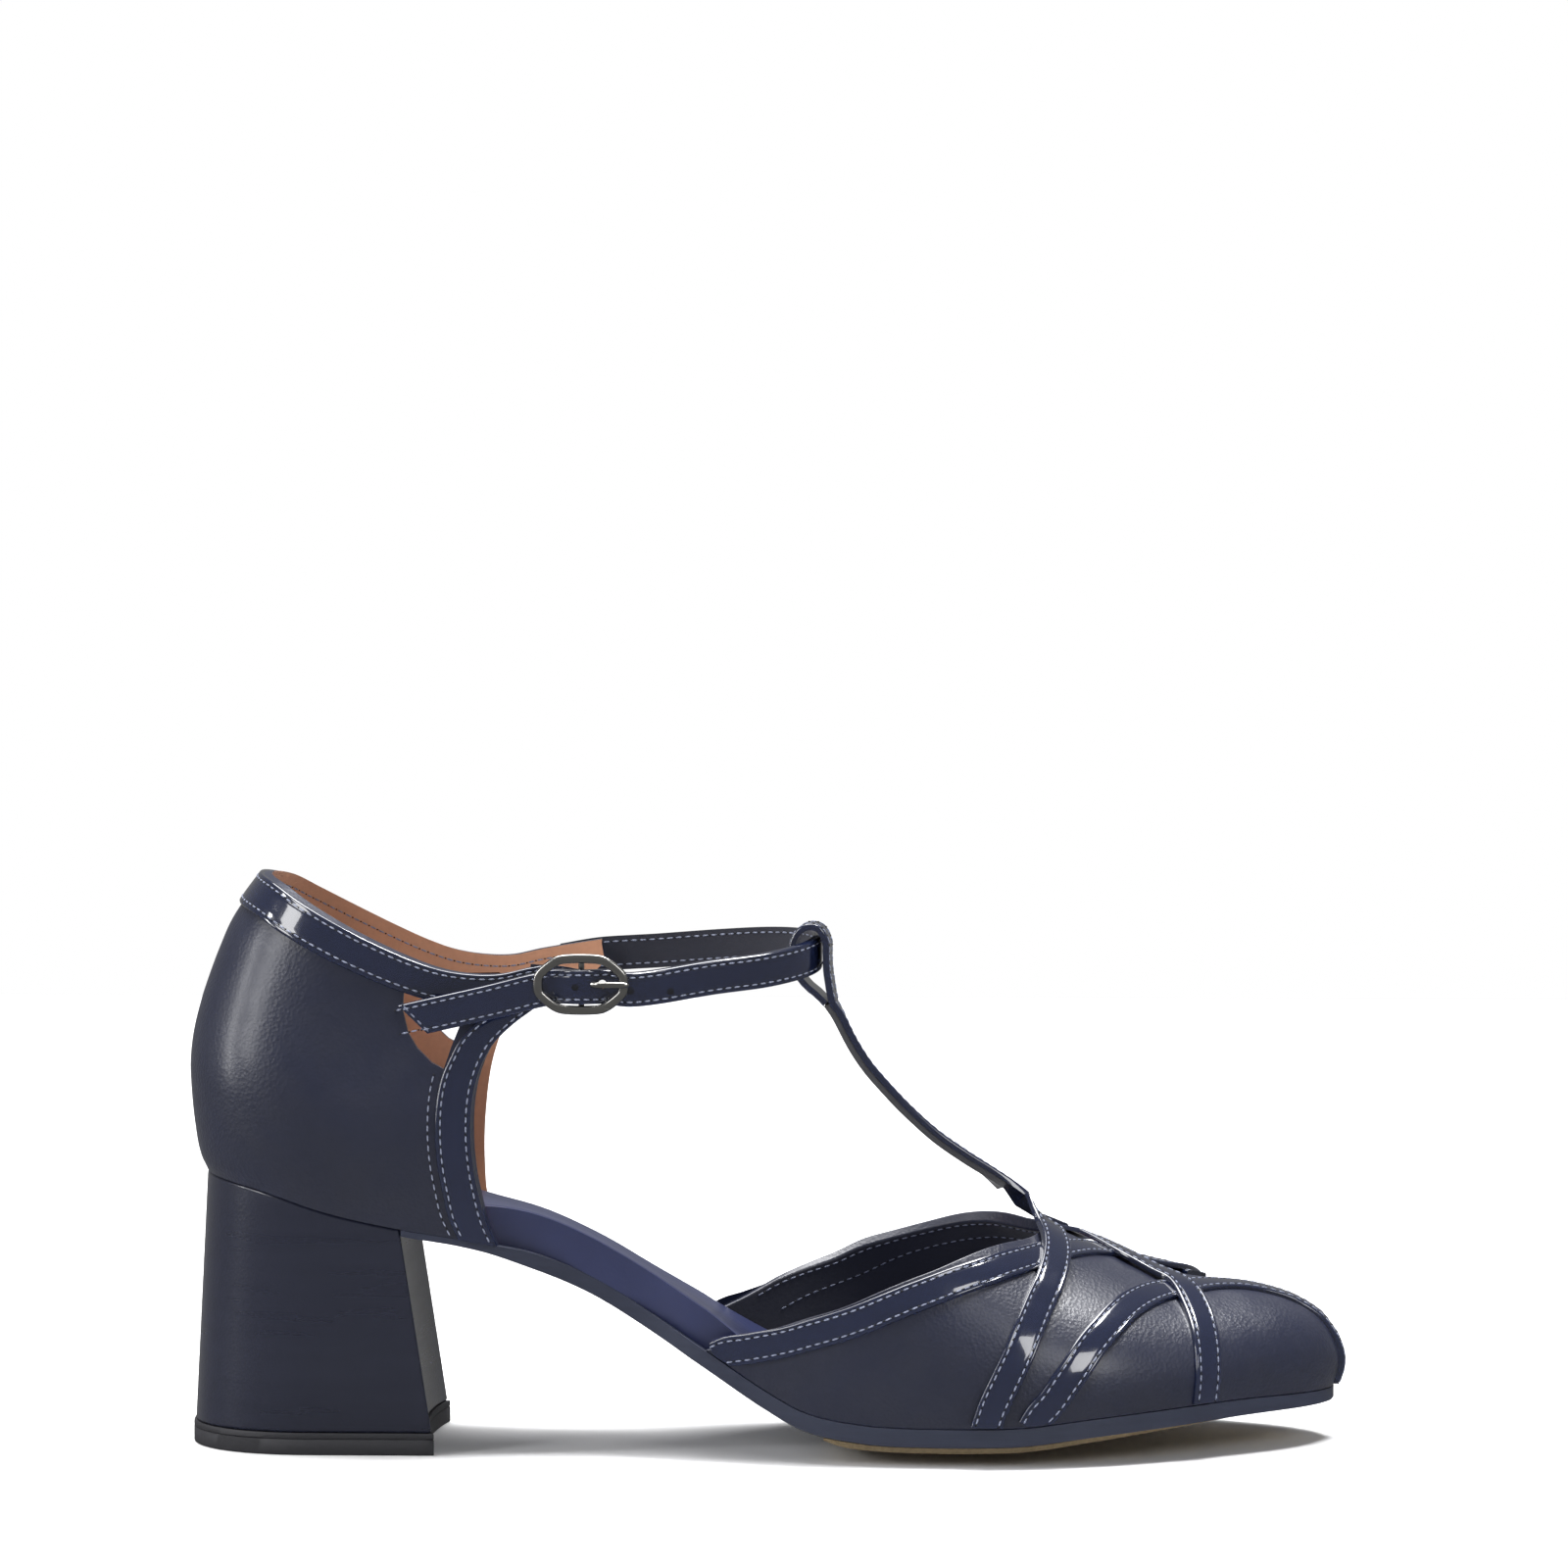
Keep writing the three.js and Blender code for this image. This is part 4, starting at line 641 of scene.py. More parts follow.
def metalFinish():
    finish = Finish("buckle metal", tones["metal"], 0.22, Metallic=1.0)
    brushed = finish.noise(300.0, 4.0, 0.6, finish.stretched((0.3, 1, 4)))
    finish.shade(brushed, tones["metal"], 0.8, 1.15)
    finish.drive("Roughness", finish.between(brushed, 0.16, 0.32))
    finish.relief(brushed, 0.02)
    return finish.material


nappa = nappaFinish("soft leather", 1.2)
counterNappa = nappaFinish("counter leather", 0.5)
patent = patentFinish()
tanLining = suedeFinish("tan lining", "tan")
navyLining = suedeFinish("navy lining", "navyLining", 0.7)
backing = suedeFinish("strap backing", "backing", 0.75)
sockLeather, soleEdge, treadRubber = sockFinish(), soleFinish(), treadFinish()
heelCover, topRubber, buckleMetal = heelFinish(), rubberFinish(), metalFinish()
# the needle-hole material is painted shade, a near-black colour standing in for the depth of the holes
thread, holeShade = threadFinish("thread", "thread"), threadFinish("needle hole shade", "holeShade")
print("finishes made")


# Stitches: a tree that sets small threads along rows of points, with a dark blob sunk between them as painted shade in
# each needle hole
# hole is the size of the dark blob painted as the shade in each needle hole
stitching = {"pitch": 1.9, "length": 1.45, "width": 0.36, "height": 0.28, "hole": 0.44, "hover": 0.02}


def stitchTree():
    tree = bpy.data.node_groups.new("stitch rows", "GeometryNodeTree")
    face = tree.interface
    face.new_socket("Geometry", in_out="INPUT", socket_type="NodeSocketGeometry")
    for name in ("Pitch", "Length", "Width", "Height", "Hole"):
        face.new_socket(name, in_out="INPUT", socket_type="NodeSocketFloat")
    for name in ("Thread", "Needle Hole Shade"):
        face.new_socket(name, in_out="INPUT", socket_type="NodeSocketMaterial")
    face.new_socket("Geometry", in_out="OUTPUT", socket_type="NodeSocketGeometry")

    def add(kind, settings=None, links=None, **values):
        node = tree.nodes.new(kind)
        for key, value in (settings or {}).items():
            setattr(node, key, value)
        for key, value in values.items():
            node.inputs[key].default_value = value
        for key, source in (links or {}).items():
            tree.links.new(source, node.inputs[key])
        return node

    given = add("NodeGroupInput").outputs
    curve = add("GeometryNodeMeshToCurve", links={0: given["Geometry"]})
    points = add("GeometryNodeCurveToPoints", {"mode": "LENGTH"}, {"Curve": curve.outputs[0], "Length": given["Pitch"]})
    up = add("GeometryNodeInputNamedAttribute", {"data_type": "FLOAT_VECTOR"}, Name="up")
    turn = add(
        "FunctionNodeAxesToRotation", {"primary_axis": "Z", "secondary_axis": "X"},
        {0: up.outputs[0], 1: points.outputs["Tangent"]},
    )
    shapes = add("GeometryNodeJoinGeometry")
    for isHole in (True, False):
        ball = add("GeometryNodeMeshUVSphere", Segments=6, Rings=4, Radius=0.5)
        smooth = add("GeometryNodeSetShadeSmooth", links={0: ball.outputs[0]})
        size = add("ShaderNodeCombineXYZ", links={
            0: given["Hole"] if isHole else given["Length"],
            1: given["Hole"] if isHole else given["Width"],
            2: given["Height"],
        })
        shift = add("ShaderNodeCombineXYZ")
        # the hole blob is a dark sphere sunk between stitches: painted shade for the needle hole
        if isHole:
            half = add("ShaderNodeMath", {"operation": "MULTIPLY"}, {0: given["Pitch"]})
            half.inputs[1].default_value = 0.5
            drop = add("ShaderNodeMath", {"operation": "MULTIPLY"}, {0: given["Height"]})
            drop.inputs[1].default_value = -0.3
            tree.links.new(half.outputs[0], shift.inputs[0])
            tree.links.new(drop.outputs[0], shift.inputs[2])
        placed = add("GeometryNodeTransform", links={
            "Geometry": smooth.outputs[0], "Scale": size.outputs[0], "Translation": shift.outputs[0],
        })
        marked = add("GeometryNodeStoreNamedAttribute", {"data_type": "BOOLEAN", "domain": "FACE"},
                     {"Geometry": placed.outputs[0]}, Name="hole", Value=isHole)
        tree.links.new(marked.outputs[0], shapes.inputs[0])
    copies = add("GeometryNodeInstanceOnPoints", links={
        "Points": points.outputs["Points"], "Instance": shapes.outputs[0], "Rotation": turn.outputs[0],
    })
    real = add("GeometryNodeRealizeInstances", links={0: copies.outputs[0]})
    threads = add("GeometryNodeSetMaterial", links={"Geometry": real.outputs[0], "Material": given["Thread"]})
    # the hole faces get the near-black material: painted shade in the needle holes
    isHoleShade = add("GeometryNodeInputNamedAttribute", {"data_type": "BOOLEAN"}, Name="hole")
    holeShading = add("GeometryNodeSetMaterial", links={
        "Geometry": threads.outputs[0], "Selection": isHoleShade.outputs[0], "Material": given["Needle Hole Shade"],
    })
    done = add("NodeGroupOutput")
    tree.links.new(holeShading.outputs[0], done.inputs[0])
    return tree


stitchNodes = stitchTree()


def stitched(name, rows, slotName, threadMaterial=None):
    # rows is a list of (points, ups); the tree's result becomes a plain mesh piece
    points, ups, edges = [], [], []
    for line, up in rows:
        start = len(points)
        points += (np.asarray(line) * mm).tolist()
        ups += np.asarray(up).tolist()
        edges += [(start + i, start + i + 1) for i in range(len(line) - 1)]
    mesh = bpy.data.meshes.new(name)
    mesh.from_pydata(points, edges, [])
    mesh.attributes.new("up", "FLOAT_VECTOR", "POINT").data.foreach_set("vector", np.array(ups).ravel())
    piece = bpy.data.objects.new(name, mesh)
    bpy.context.scene.collection.objects.link(piece)
    made = piece.modifiers.new("stitches", "NODES")
    made.node_group = stitchNodes
    # the needle-hole material given here is painted shade for the holes
    sizes = {
        "Pitch": stitching["pitch"] * mm, "Length": stitching["length"] * mm, "Width": stitching["width"] * mm,
        "Height": stitching["height"] * mm, "Hole": stitching["hole"] * mm,
        "Thread": threadMaterial or thread, "Needle Hole Shade": holeShade,
    }
    for item in stitchNodes.interface.items_tree:
        if item.in_out == "INPUT" and item.name in sizes:
            made[item.identifier] = sizes[item.name]
    applyAll(piece)
    return keepPiece(piece, slotName)


# Strips and straps
def stripSection(width, thick, base=0.0, edge=0.45, stitch=1.0, groove=0.12):
    # closed section of a folded strip: the upper side from left to right, then back underneath
    half = width / 2
    left = [
        (-half, base), (-half, 0.35 * thick), (-half + 0.14 * edge, 0.7 * thick), (-half + 0.5 * edge, 0.94 * thick),
        (-half + edge, thick), (-half + stitch - 0.3, thick), (-half + stitch, thick - groove),
        (-half + stitch + 0.35, thick), (-half * 0.4, 1.02 * thick),
    ]
    right = [(-s, h) for s, h in reversed(left)]
    return left + [(0.0, 1.03 * thick)] + right + [(half * 0.4, base), (0.0, base), (-half * 0.4, base)]


def laidRings(rows, section, thickness, perSpan=6):
    # rings of a strip laid on the vamp from rows of x, girth and lift
    samples = smoothRows(rows, perSpan)
    x, girth, over = samples[:, 0], samples[:, 1], samples[:, 2]
    _, normal, _, _ = surfaceFrame(vampPoint, x, girth)
    across = unit(np.cross(headings(vampPoint(x, girth)), normal))
    rings, frames = [], {}
    for s, h in section:
        if s not in frames:
            a, b = walk(x, girth, across * s)
            frames[s] = surfaceFrame(vampPoint, a, b)[:2]
        point, up = frames[s]
        rings.append(point + up * (h + over * (thickness + 0.05))[:, None])
    return np.stack(rings, 1)


def ringRows(rings, section, stitch=1.0, skip=0):
    # the two stitch rows of a strip, taken from its grooves
    half = max(s for s, _ in section)
    rows = []
    for side in (-1, 1):
        place = side * (half - stitch)
        j = min(range(len(section) - 3), key=lambda k: abs(section[k][0] - place) - 0.01 * section[k][1])
        line = rings[:, j]
        beside = rings[:, j + 1] - rings[:, j - 1]
        up = unit(np.cross(headings(line), beside))
        middle = rings[:, 9] - rings[:, -2]
        up *= np.sign((up * middle).sum(-1, keepdims=True))
        lift = stitching["hover"] + 0.1
        sewn = np.arange(skip, len(line) - skip)
        sewn = sewn[line[sewn, 2] > edgeZ(line[sewn, 0]) + 1.1]
        rows.append((line[sewn] + up[sewn] * lift, up[sewn]))
    return rows


def freeFrames(rows, perSpan=6):
    samples = smoothRows(rows, perSpan)
    heading = headings(samples[:, :3])
    if samples.shape[1] > 3:
        angle = np.radians(samples[:, 3])
        across = np.stack([np.sin(angle), -np.cos(angle), np.zeros_like(angle)], -1)
    else:
        across = np.tile([0.0, 0.0, 1.0], (len(samples), 1))
    across = unit(across - heading * (across * heading).sum(-1, keepdims=True))
    return samples[:, :3], across, unit(np.cross(across, heading))


def freeRings(rows, section, perSpan=6):
    middle, across, normal = freeFrames(rows, perSpan)
    return np.stack([middle + across * s + normal * h for s, h in section], 1)


def tableRows(table, side):
    rows = []
    for at, girth, over, climb in table:
        back = float(medialReach(1 - girth)) if table is collarStrip else 0.0
        x = float(placeOf(at))
        rows.append((x, girth, over) if side < 0 else (x - back, 1 - girth, over + climb))
    return rows


# Strips over the vamp: share of the length, girth, lift, and the extra lift of the medial mirror
instepStrip = [
    (0.7425, 0.44, 1.1, 0), (0.7468, 0.4, 1.3, 0), (0.749, 0.355, 1.2, 0), (0.7475, 0.31, 1.1, 0),
    (0.743, 0.265, 0.7, 0), (0.736, 0.218, 0, 0), (0.728, 0.168, 0, 0), (0.7195, 0.12, 0, 0),
    (0.7085, 0.072, 0, 0), (0.698, 0.03, 0, 0), (0.6885, -0.02, 0, 0),
]
collarStrip = [
    (0.447, -0.022, 0.2, 0), (0.463, 0.004, 0.2, 0), (0.49, 0.024, 0.15, 0), (0.52, 0.046, 0, 0),
    (0.57, 0.088, 0, 0), (0.604, 0.124, 0, 0), (0.653, 0.181, 0, 0), (0.687, 0.23, 0, 0), (0.71, 0.274, 0, 0),
    (0.732, 0.326, 0, 0), (0.76, 0.4, 0, 0.3), (0.778, 0.45, 0, 1), (0.796, 0.492, 0, 1), (0.815, 0.53, 0, 1),
    (0.835, 0.557, 0.5, 0.3), (0.852, 0.585, 1.1, 0), (0.862, 0.63, 1.1, 0), (0.871, 0.695, 0.4, 0),
    (0.877, 0.765, 0, 0), (0.88, 0.835, 0, 0), (0.881, 0.916, 0, 0), (0.88, 0.97, 0, 0), (0.878, 1.02, 0, 0),
]
toeStrip = [
    (0.726, -0.02, 0, 0), (0.737, 0.018, 0, 0), (0.748, 0.042, 0, 0), (0.758, 0.072, 0, 0), (0.769, 0.107, 0, 0),
    (0.781, 0.152, 0, 0), (0.795, 0.202, 0, 0), (0.811, 0.26, 0, 0), (0.827, 0.311, 0, 0), (0.841, 0.35, 0, 0),
    (0.856, 0.385, 0, 0), (0.874, 0.425, 0, 0), (0.895, 0.462, 0, 0), (0.92, 0.487, 0, 0), (0.945, 0.498, 0, 0),
    (0.96, 0.5, 0, 0),
]
stripSizes = {"thickness": 0.9, "ended": 5}
section = stripSection(upper["strip"], stripSizes["thickness"], -upper["sink"])


def noseRings(section):
    # over the toe's nose and down its tip to the sole
    ridgeEnd = float(placeOf(toeStrip[-1][0]))
    over, down = np.linspace(0, 1, 16)[1:], np.linspace(0, 1, 19)[1:]
    top = vampPoint(ridgeEnd + (toeTip - ridgeEnd) * np.sin(over * math.pi / 2), 0.5)
    tip = vampPoint(np.full(len(down), toeTip), 0.5 - 0.52 * down)
    line = np.concatenate([top, tip])
    across = np.tile([0.0, -1.0, 0.0], (len(line), 1))
    normal = unit(np.cross(across, headings(line)))
    return np.stack([
        line + across * s + normal * (h - s * s / (2 * last["crown"])) for s, h in section
    ], 1)


def feetOff(rings):
    # keeps the rings that stand on the vamp, down to the feather edge
    keep = rings[:, 9, 2] > edgeZ(rings[:, 9, 0]) - 0.4
    return rings[keep]


def floorOn(rings):
    low = edgeZ(rings[..., 0]) + 0.45
    rings[..., 2] = np.maximum(rings[..., 2], low)
    return rings


print("last and strips laid out")


# Sole, tread, insole and heel
soleSizes = {"rows": 150, "columns": 20, "bevel": 0.35, "tread": 0.8, "treadInset": 3.6, "treadToe": 4.0,
             "gap": 0.3, "seatFront": 19.2, "breast": 2.4}


def plot(rows, columns, point):
    u, a = np.meshgrid(np.linspace(0, 1, rows + 1), np.linspace(0, 1, columns + 1), indexing="ij")
    return point(u, a)


def easeTo(u):
    return 0.5 * u + 0.5 * np.sin(u * math.pi / 2)


def breastX(front, v):
    return front - soleSizes["breast"] * (1 - v * v)


def solePoint(height):
    def point(u, a):
        v = 2 * a - 1
        start = breastX(soleSizes["seatFront"], v) + soleSizes["gap"]
        x = start + (toeTip - start) * easeTo(u)
        return np.stack([x, centreY(x) + v * halfAt(x), height(x, v)], -1)
    return point


def soleEdges():
    rows, columns = soleSizes["rows"], soleSizes["columns"]
    top = plot(rows, columns, solePoint(lambda x, v: edgeZ(x) - 0.05))
    bottom = plot(rows, columns, solePoint(randBottom))
    piece = tidyMesh(gridShell("outsole_edge", top, bottom, [soleEdge]), 40)
    softEdges(piece, soleSizes["bevel"], 3, 40)
    applyAll(piece)
    piece.data.shade_smooth()
    return keepPiece(piece, "sole_edge", "outsole")


treadForm = {
    "at": [0.553, 0.567, 0.6, 0.72, 0.8, 0.9, 1.0],
    "thick": [0.3, 1, 1, 1, 0.8, 0.5, 0.4],
    "inset": [1, 1, 1, 1.15, 1.8, 2.6, 3.0],
}


def treadPiece():
    start, end = float(placeOf(treadForm["at"][0])), toeTip - soleSizes["treadToe"]

    def half(x):
        inset = soleSizes["treadInset"] * along(treadForm, "at", "inset", shareOf(x))
        return (openHalf(x) - inset) * closing(end - x, last["toeRound"])

    def upperFace(x, v):
        return randBottom(x, v) - 0.05

    def thick(x):
        return 0.25 + soleSizes["tread"] * along(treadForm, "at", "thick", shareOf(x))

    def point(height):
        def made(u, a):
            v = 2 * a - 1
            x = start + (end - start) * easeTo(u)
            share = v * half(x) / np.maximum(halfAt(x), 1e-6)
            return np.stack([x, centreY(x) + v * half(x), height(x, share)], -1)
        return made

    top = plot(100, 20, point(upperFace))
    bottom = plot(100, 20, point(lambda x, v: np.maximum(upperFace(x, v) - thick(x), 0.0)))
    piece = tidyMesh(gridShell("tread", top, bottom, [treadRubber]), 40)
    softEdges(piece, 0.25, 2, 40)
    applyAll(piece)
    piece.data.shade_smooth()
    return keepPiece(piece, "tread_rubber", "forepart_tread")


sockSizes = {"height": 6.2, "dish": 0.6, "gap": 1.0, "step": 18.0, "seam": 1.1, "roll": 0.5}


def insoleInset(x):
    rear = np.clip((cupFoot - x) / sockSizes["step"] + 1, 0, 1)
    fore = np.clip((x - vampBack) / sockSizes["step"] + 1, 0, 1)
    return (upper["wall"] + sockSizes["gap"]) * np.maximum(rear, fore)


def insolePiece():
    back = last["lean"] * cup["lean"][0] - last["cupBack"]
    start, end = back + upper["wall"] + sockSizes["gap"], toeTip - upper["wall"] - sockSizes["gap"]

    def ends(x):
        inset = insoleInset(x)
        return closing(toeTip - inset - x, last["toeRound"]) * closing(x - back - inset, last["seatRound"], 2.2)

    def half(x):
        return (soleHalf(x) - insoleInset(x)) * ends(x)

    def rise(x, v):
        tilt = last["tilt"] * along(waist, "at", "tilt", shareOf(x))
        return sockSizes["height"] * along(insoleRise, "at", "height", shareOf(x)) - v * tilt

    def pad(x, v):
        # soft edge, a sunk seam line near it, then the dished sock
        inward = (1 - np.abs(v)) * half(x)
        roll = -0.35 * np.exp(-inward / sockSizes["roll"])
        seam = -0.16 * np.exp(-((inward - sockSizes["seam"]) / 0.22) ** 2)
        return edgeZ(x) + rise(x, v) - sockSizes["dish"] * (1 - v * v) * ends(x) + (roll + seam) * ends(x)

    def point(height):
        def made(u, a):
            v = np.sin((2 * a - 1) * math.pi / 2) * 0.6 + (2 * a - 1) * 0.4
            x = start + (end - start) * 0.5 * (1 - np.cos(math.pi * u))
            return np.stack([x, centreY(x) + v * half(x), height(x, v)], -1)
        return made

    piece = gridShell(
        "insole_sock", plot(170, 70, point(pad)), plot(170, 70, point(lambda x, v: edgeZ(x) - 0.02)), [sockLeather],
    )
    tidyMesh(piece, 50)
    softEdges(piece, 0.6, 3, 50)
    applyAll(piece)
    piece.data.shade_smooth()
    return keepPiece(piece, "sock_leather", "insole")


heelSizes = {"breadth": 46.0, "floorBack": 24.5, "floorFront": 25.5, "seatInset": 0.8, "lift": 4.5, "lip": 0.4, "bevel": 0.6}


def heelOutline(back, front, half, z, count=36):
    # plan outline at a level: lateral side to the back, round it, and along the breast
    u = np.linspace(1, 0, count + 1)

    def side(u, v):
        reach = breastX(front, v)
        x = back + (reach - back) * (1 - np.cos(u * math.pi / 2))
        return np.stack([x, v * half(x) * closing(x - back, last["seatRound"], 2.2), z(x)], -1)

    lateral = side(u, -np.ones_like(u))
    medial = side(u[::-1][1:], np.ones(count))
    breast = side(np.ones(15), np.linspace(1, -1, 17)[1:-1])
    return np.concatenate([lateral, medial, breast])


def heelPieces():
    back = last["lean"] * cup["lean"][0] - last["cupBack"]
    s = heelSizes
    seat = heelOutline(back, soleSizes["seatFront"], lambda x: openHalf(x) - s["seatInset"], lambda x: edgeZ(x) - 0.05)
    foot = heelOutline(
        -s["floorBack"], s["floorFront"], lambda x: s["breadth"] / 2 + 0 * x, lambda x: s["lift"] + 0.05 + 0 * x,
    )
    levels = np.linspace(0, 1, 31)
    rings = np.array([foot * (1 - t) + seat * t for t in levels])
    block = loft("heel_wrap", rings, [heelCover])
    softEdges(block, s["bevel"], 3, 45)
    applyAll(block)
    block.data.shade_smooth()
    keepPiece(block, "heel_cover", "heel_block")

    def level(z, grow):
        return heelOutline(
            -s["floorBack"] - grow, s["floorFront"] + grow, lambda x: s["breadth"] / 2 + grow + 0 * x, lambda x: z + 0 * x,
        )

    lip = s["lip"]
    profile = [(s["lift"], 0.0), (s["lift"], lip * 0.7), (s["lift"] - 0.3, lip), (3.45, lip), (3.3, lip - 0.22), (3.15, lip),
               (0.35, lip), (0.1, lip * 0.8), (0.0, lip * 0.2)]
    rings = np.array([level(z, grow) for z, grow in profile])
    keepPiece(loft("heel_top_piece_rubber", rings, [topRubber]), "top_piece_rubber", "heel_top_piece")


soleEdges()
treadPiece()
insolePiece()
heelPieces()
print("sole and heel made")


# Vamp and quarter
shellSizes = {"along": 110, "over": 120, "cupUp": 60, "cupRound": 220, "bevel": 0.4}


def vampPiece():
    def made(grow):
        def point(u, g):
            start = toplineX(g)
            return vampPoint(start + (toeTip + grow - start) * easeTo(u), g, grow)
        return point
    outer = plot(shellSizes["along"], shellSizes["over"], made(0.0))
    inner = plot(shellSizes["along"], shellSizes["over"], made(-upper["wall"]))
    piece = gridShell("vamp_leather", outer, inner, [nappa, navyLining])
    tidyMesh(piece, 50)
    softEdges(piece, shellSizes["bevel"], 3, 50)
    applyAll(piece)
    piece.data.shade_smooth()
    return keepPiece(piece, "soft_leather", "vamp")


def dropRing():
    heights = last["heel"] + last["counter"] * np.array(dropOutline["up"])
    return np.stack([placeOf(dropOutline["at"]), heights], -1)


def quarterPiece():
    def made(grow):
        def point(rise, s):
            return cupPoint(roundTurn(s, rise), rise, grow)
        return point
    outer = plot(shellSizes["cupUp"], shellSizes["cupRound"], made(0.0))
    inner = plot(shellSizes["cupUp"], shellSizes["cupRound"], made(-upper["wall"]))
    piece = tidyMesh(gridShell("quarter_leather", outer, inner, [counterNappa, tanLining]), 50)
    ring = dropRing()
    depth = 60.0
    rings = np.stack([
        np.stack([ring[:, 0], np.full(len(ring), y), ring[:, 1]], -1) for y in (-depth, depth)
    ])
    cutter = loft("drop cutter", rings, [counterNappa])
    cutBy(piece, cutter)
    tidyMesh(piece, 50)
    softEdges(piece, 0.3, 2, 50)
    applyAll(piece)
    piece.data.shade_smooth()
    return keepPiece(piece, "soft_leather", "quarter")


def cupPath(turns, rises, grow):
    # a line on the cup with its outward normals
    point = cupPoint(turns, rises, grow)
    da, db = 0.002, 0.002
    alongA = cupPoint(turns + da, rises, grow) - cupPoint(turns - da, rises, grow)
    alongB = cupPoint(turns, rises + db, grow) - cupPoint(turns, rises - db, grow)
    return point, unit(np.cross(alongB, alongA))


def cupRibbon(name, turnOf, riseOf, count, width, thickness, material, slotName, node, folded=0.0):
    # strip on the cup from functions of a share along and a share across
    section = stripSection(width, thickness, -upper["sink"])
    share = np.linspace(0, 1, count)
    rings = []
    for s, h in section:
        across = 0.5 + s / width
        rise = riseOf(share, across)
        turn = turnOf(share, across, rise)
        point, up = cupPath(turn, rise, 0.0)
        rings.append(point + up * h)
    rings = np.stack(rings, 1)
    piece = loft(name, rings, [material])
    keepPiece(piece, slotName, node)
    return rings, section


bandSizes = {"thickness": 0.9, "count": 260}
threadRows = {"quarter": [], "vamp": [], "ankle": [], "instep": [], "lining": []}


def collarBand():
    def riseOf(share, across):
        return 1 - across * upper["band"] / cupHeight(roundTurn(share, np.ones_like(share)))

    def turnOf(share, across, rise):
        return roundTurn(share, rise)

    rings, section = cupRibbon("collar_band_patent", turnOf, riseOf, bandSizes["count"], upper["band"],
                               bandSizes["thickness"], patent, "patent_leather", "collar_band")
    threadRows["quarter"] += ringRows(rings, section, skip=3)


def frontStraps():
    for side, label in ((-1, "lateral"), (1, "medial")):
        def riseOf(share, across):
            level = share * frontEdge["rise"][-2]
            edge = edgePlace("rear", level, side) * (1 - across) + edgePlace("front", level, side) * across
            turn = turnAt(edge, level)
            return share * (1 - (upper["band"] + 0.3) / cupHeight(turn))

        def turnOf(share, across, rise):
            level = share * frontEdge["rise"][-2]
            edge = edgePlace("rear", level, side) * (1 - across) + edgePlace("front", level, side) * across
            return side * turnAt(edge, level)

        rings, section = cupRibbon("front_strap_patent_" + label, turnOf, riseOf, 110, upper["strip"] + 0.6,
                                   stripSizes["thickness"], patent, "patent_leather", "front_strap_" + label)
        threadRows["quarter"] += ringRows(rings, section, skip=2)


vampPiece()
quarterPiece()
collarBand()
frontStraps()
print("upper made")


def vampStrips():
    thickness = stripSizes["thickness"]
    for table, side, name, node in (
        (collarStrip, -1, "collar_strip_lateral", "vamp_strip_collar_lateral"),
        (collarStrip, 1, "collar_strip_medial", "vamp_strip_collar_medial"),
        (toeStrip[:12], 1, "toe_strip_medial", "vamp_strip_toe_medial"),
        (instepStrip[1:], 1, "instep_strip_medial", "vamp_strip_instep_medial"),
    ):
        rings = floorOn(feetOff(laidRings(tableRows(table, side), section, thickness)))
        keepPiece(loft(name, rings, [patent]), "patent_leather", node)
        threadRows["vamp"] += ringRows(rings, section, skip=1)
    rings = laidRings(tableRows(toeStrip, -1), section, thickness)
    rings = floorOn(feetOff(np.concatenate([rings[:-1], noseRings(section)])))
    keepPiece(loft("toe_strip_lateral", rings, [patent]), "patent_leather", "vamp_strip_toe_lateral")
    threadRows["vamp"] += ringRows(rings, section, skip=1)


vampStrips()
print("vamp strips laid")


# Ankle strap, buckle and T strap
ankle = {
    "half": 22.6, "thickness": 1.5, "width": 7.0, "hole": 0.75, "slant": 4.6, "front": 7,
    "line": [
        (0.318, 1.02, 0.666), (0.35, 1.01, 0.688), (0.38, 0.965, 0.698), (0.404, 0.92, 0.705), (0.455, 0.77, 0.725),
        (0.4995, 0.53, 0.742), (0.53, 0.24, 0.748), (0.545, -0.09, 0.742), (0.534, -0.42, 0.72),
        (0.502, -0.73, 0.698), (0.4553, -0.95, 0.68), (0.4128, -1.08, 0.655),
    ],
    # through the buckle: half ring lengths ahead of the bar, over the bar, tucked in, strap widths down
    "weave": [
        (1.174, 0, 0, 0.171), (0.767, 0, 0.07, 0.129), (0.581, 0, -0.07, 0.086), (0.174, 1, 0, 0.071),
        (-0.174, 1, 0, 0.071), (-0.581, 0, -0.07, 0.086), (-0.767, 0, 0.07, 0.143), (-1.174, 0, 0, 0.243),
        (-2.063, 0, 0.4, 0.529), (-3.02, 0, 0.53, 0.8), (-4.2, 0, 0.53, 1.13),
    ],
    "punched": [(1.163, 0.2), (2.07, 0.25), (-0.12, 0.07)],
}
buckle = {
    "at": (0.3455, -1.27, 0.668), "length": 18.6, "height": 11.8, "wire": 1.4, "barInset": 2.6, "bar": 0.6, "prong": 0.45,
    "tab": 0.8, "tabWidth": 6.4, "gap": 0.3,
}


def ankleAt(at, side, up):
    return [float(placeOf(at)), side * ankle["half"], last["heel"] + up * last["counter"]]


buckleAt = ankleAt(*buckle["at"])
underRing = buckle["wire"] / 2 + buckle["gap"] + ankle["thickness"] / 2
overBar = buckle["bar"] + 2 * buckle["gap"] + buckle["tab"] + ankle["thickness"] / 2 - buckle["barInset"]
sideOfRing = (buckle["length"] - buckle["wire"]) / 2


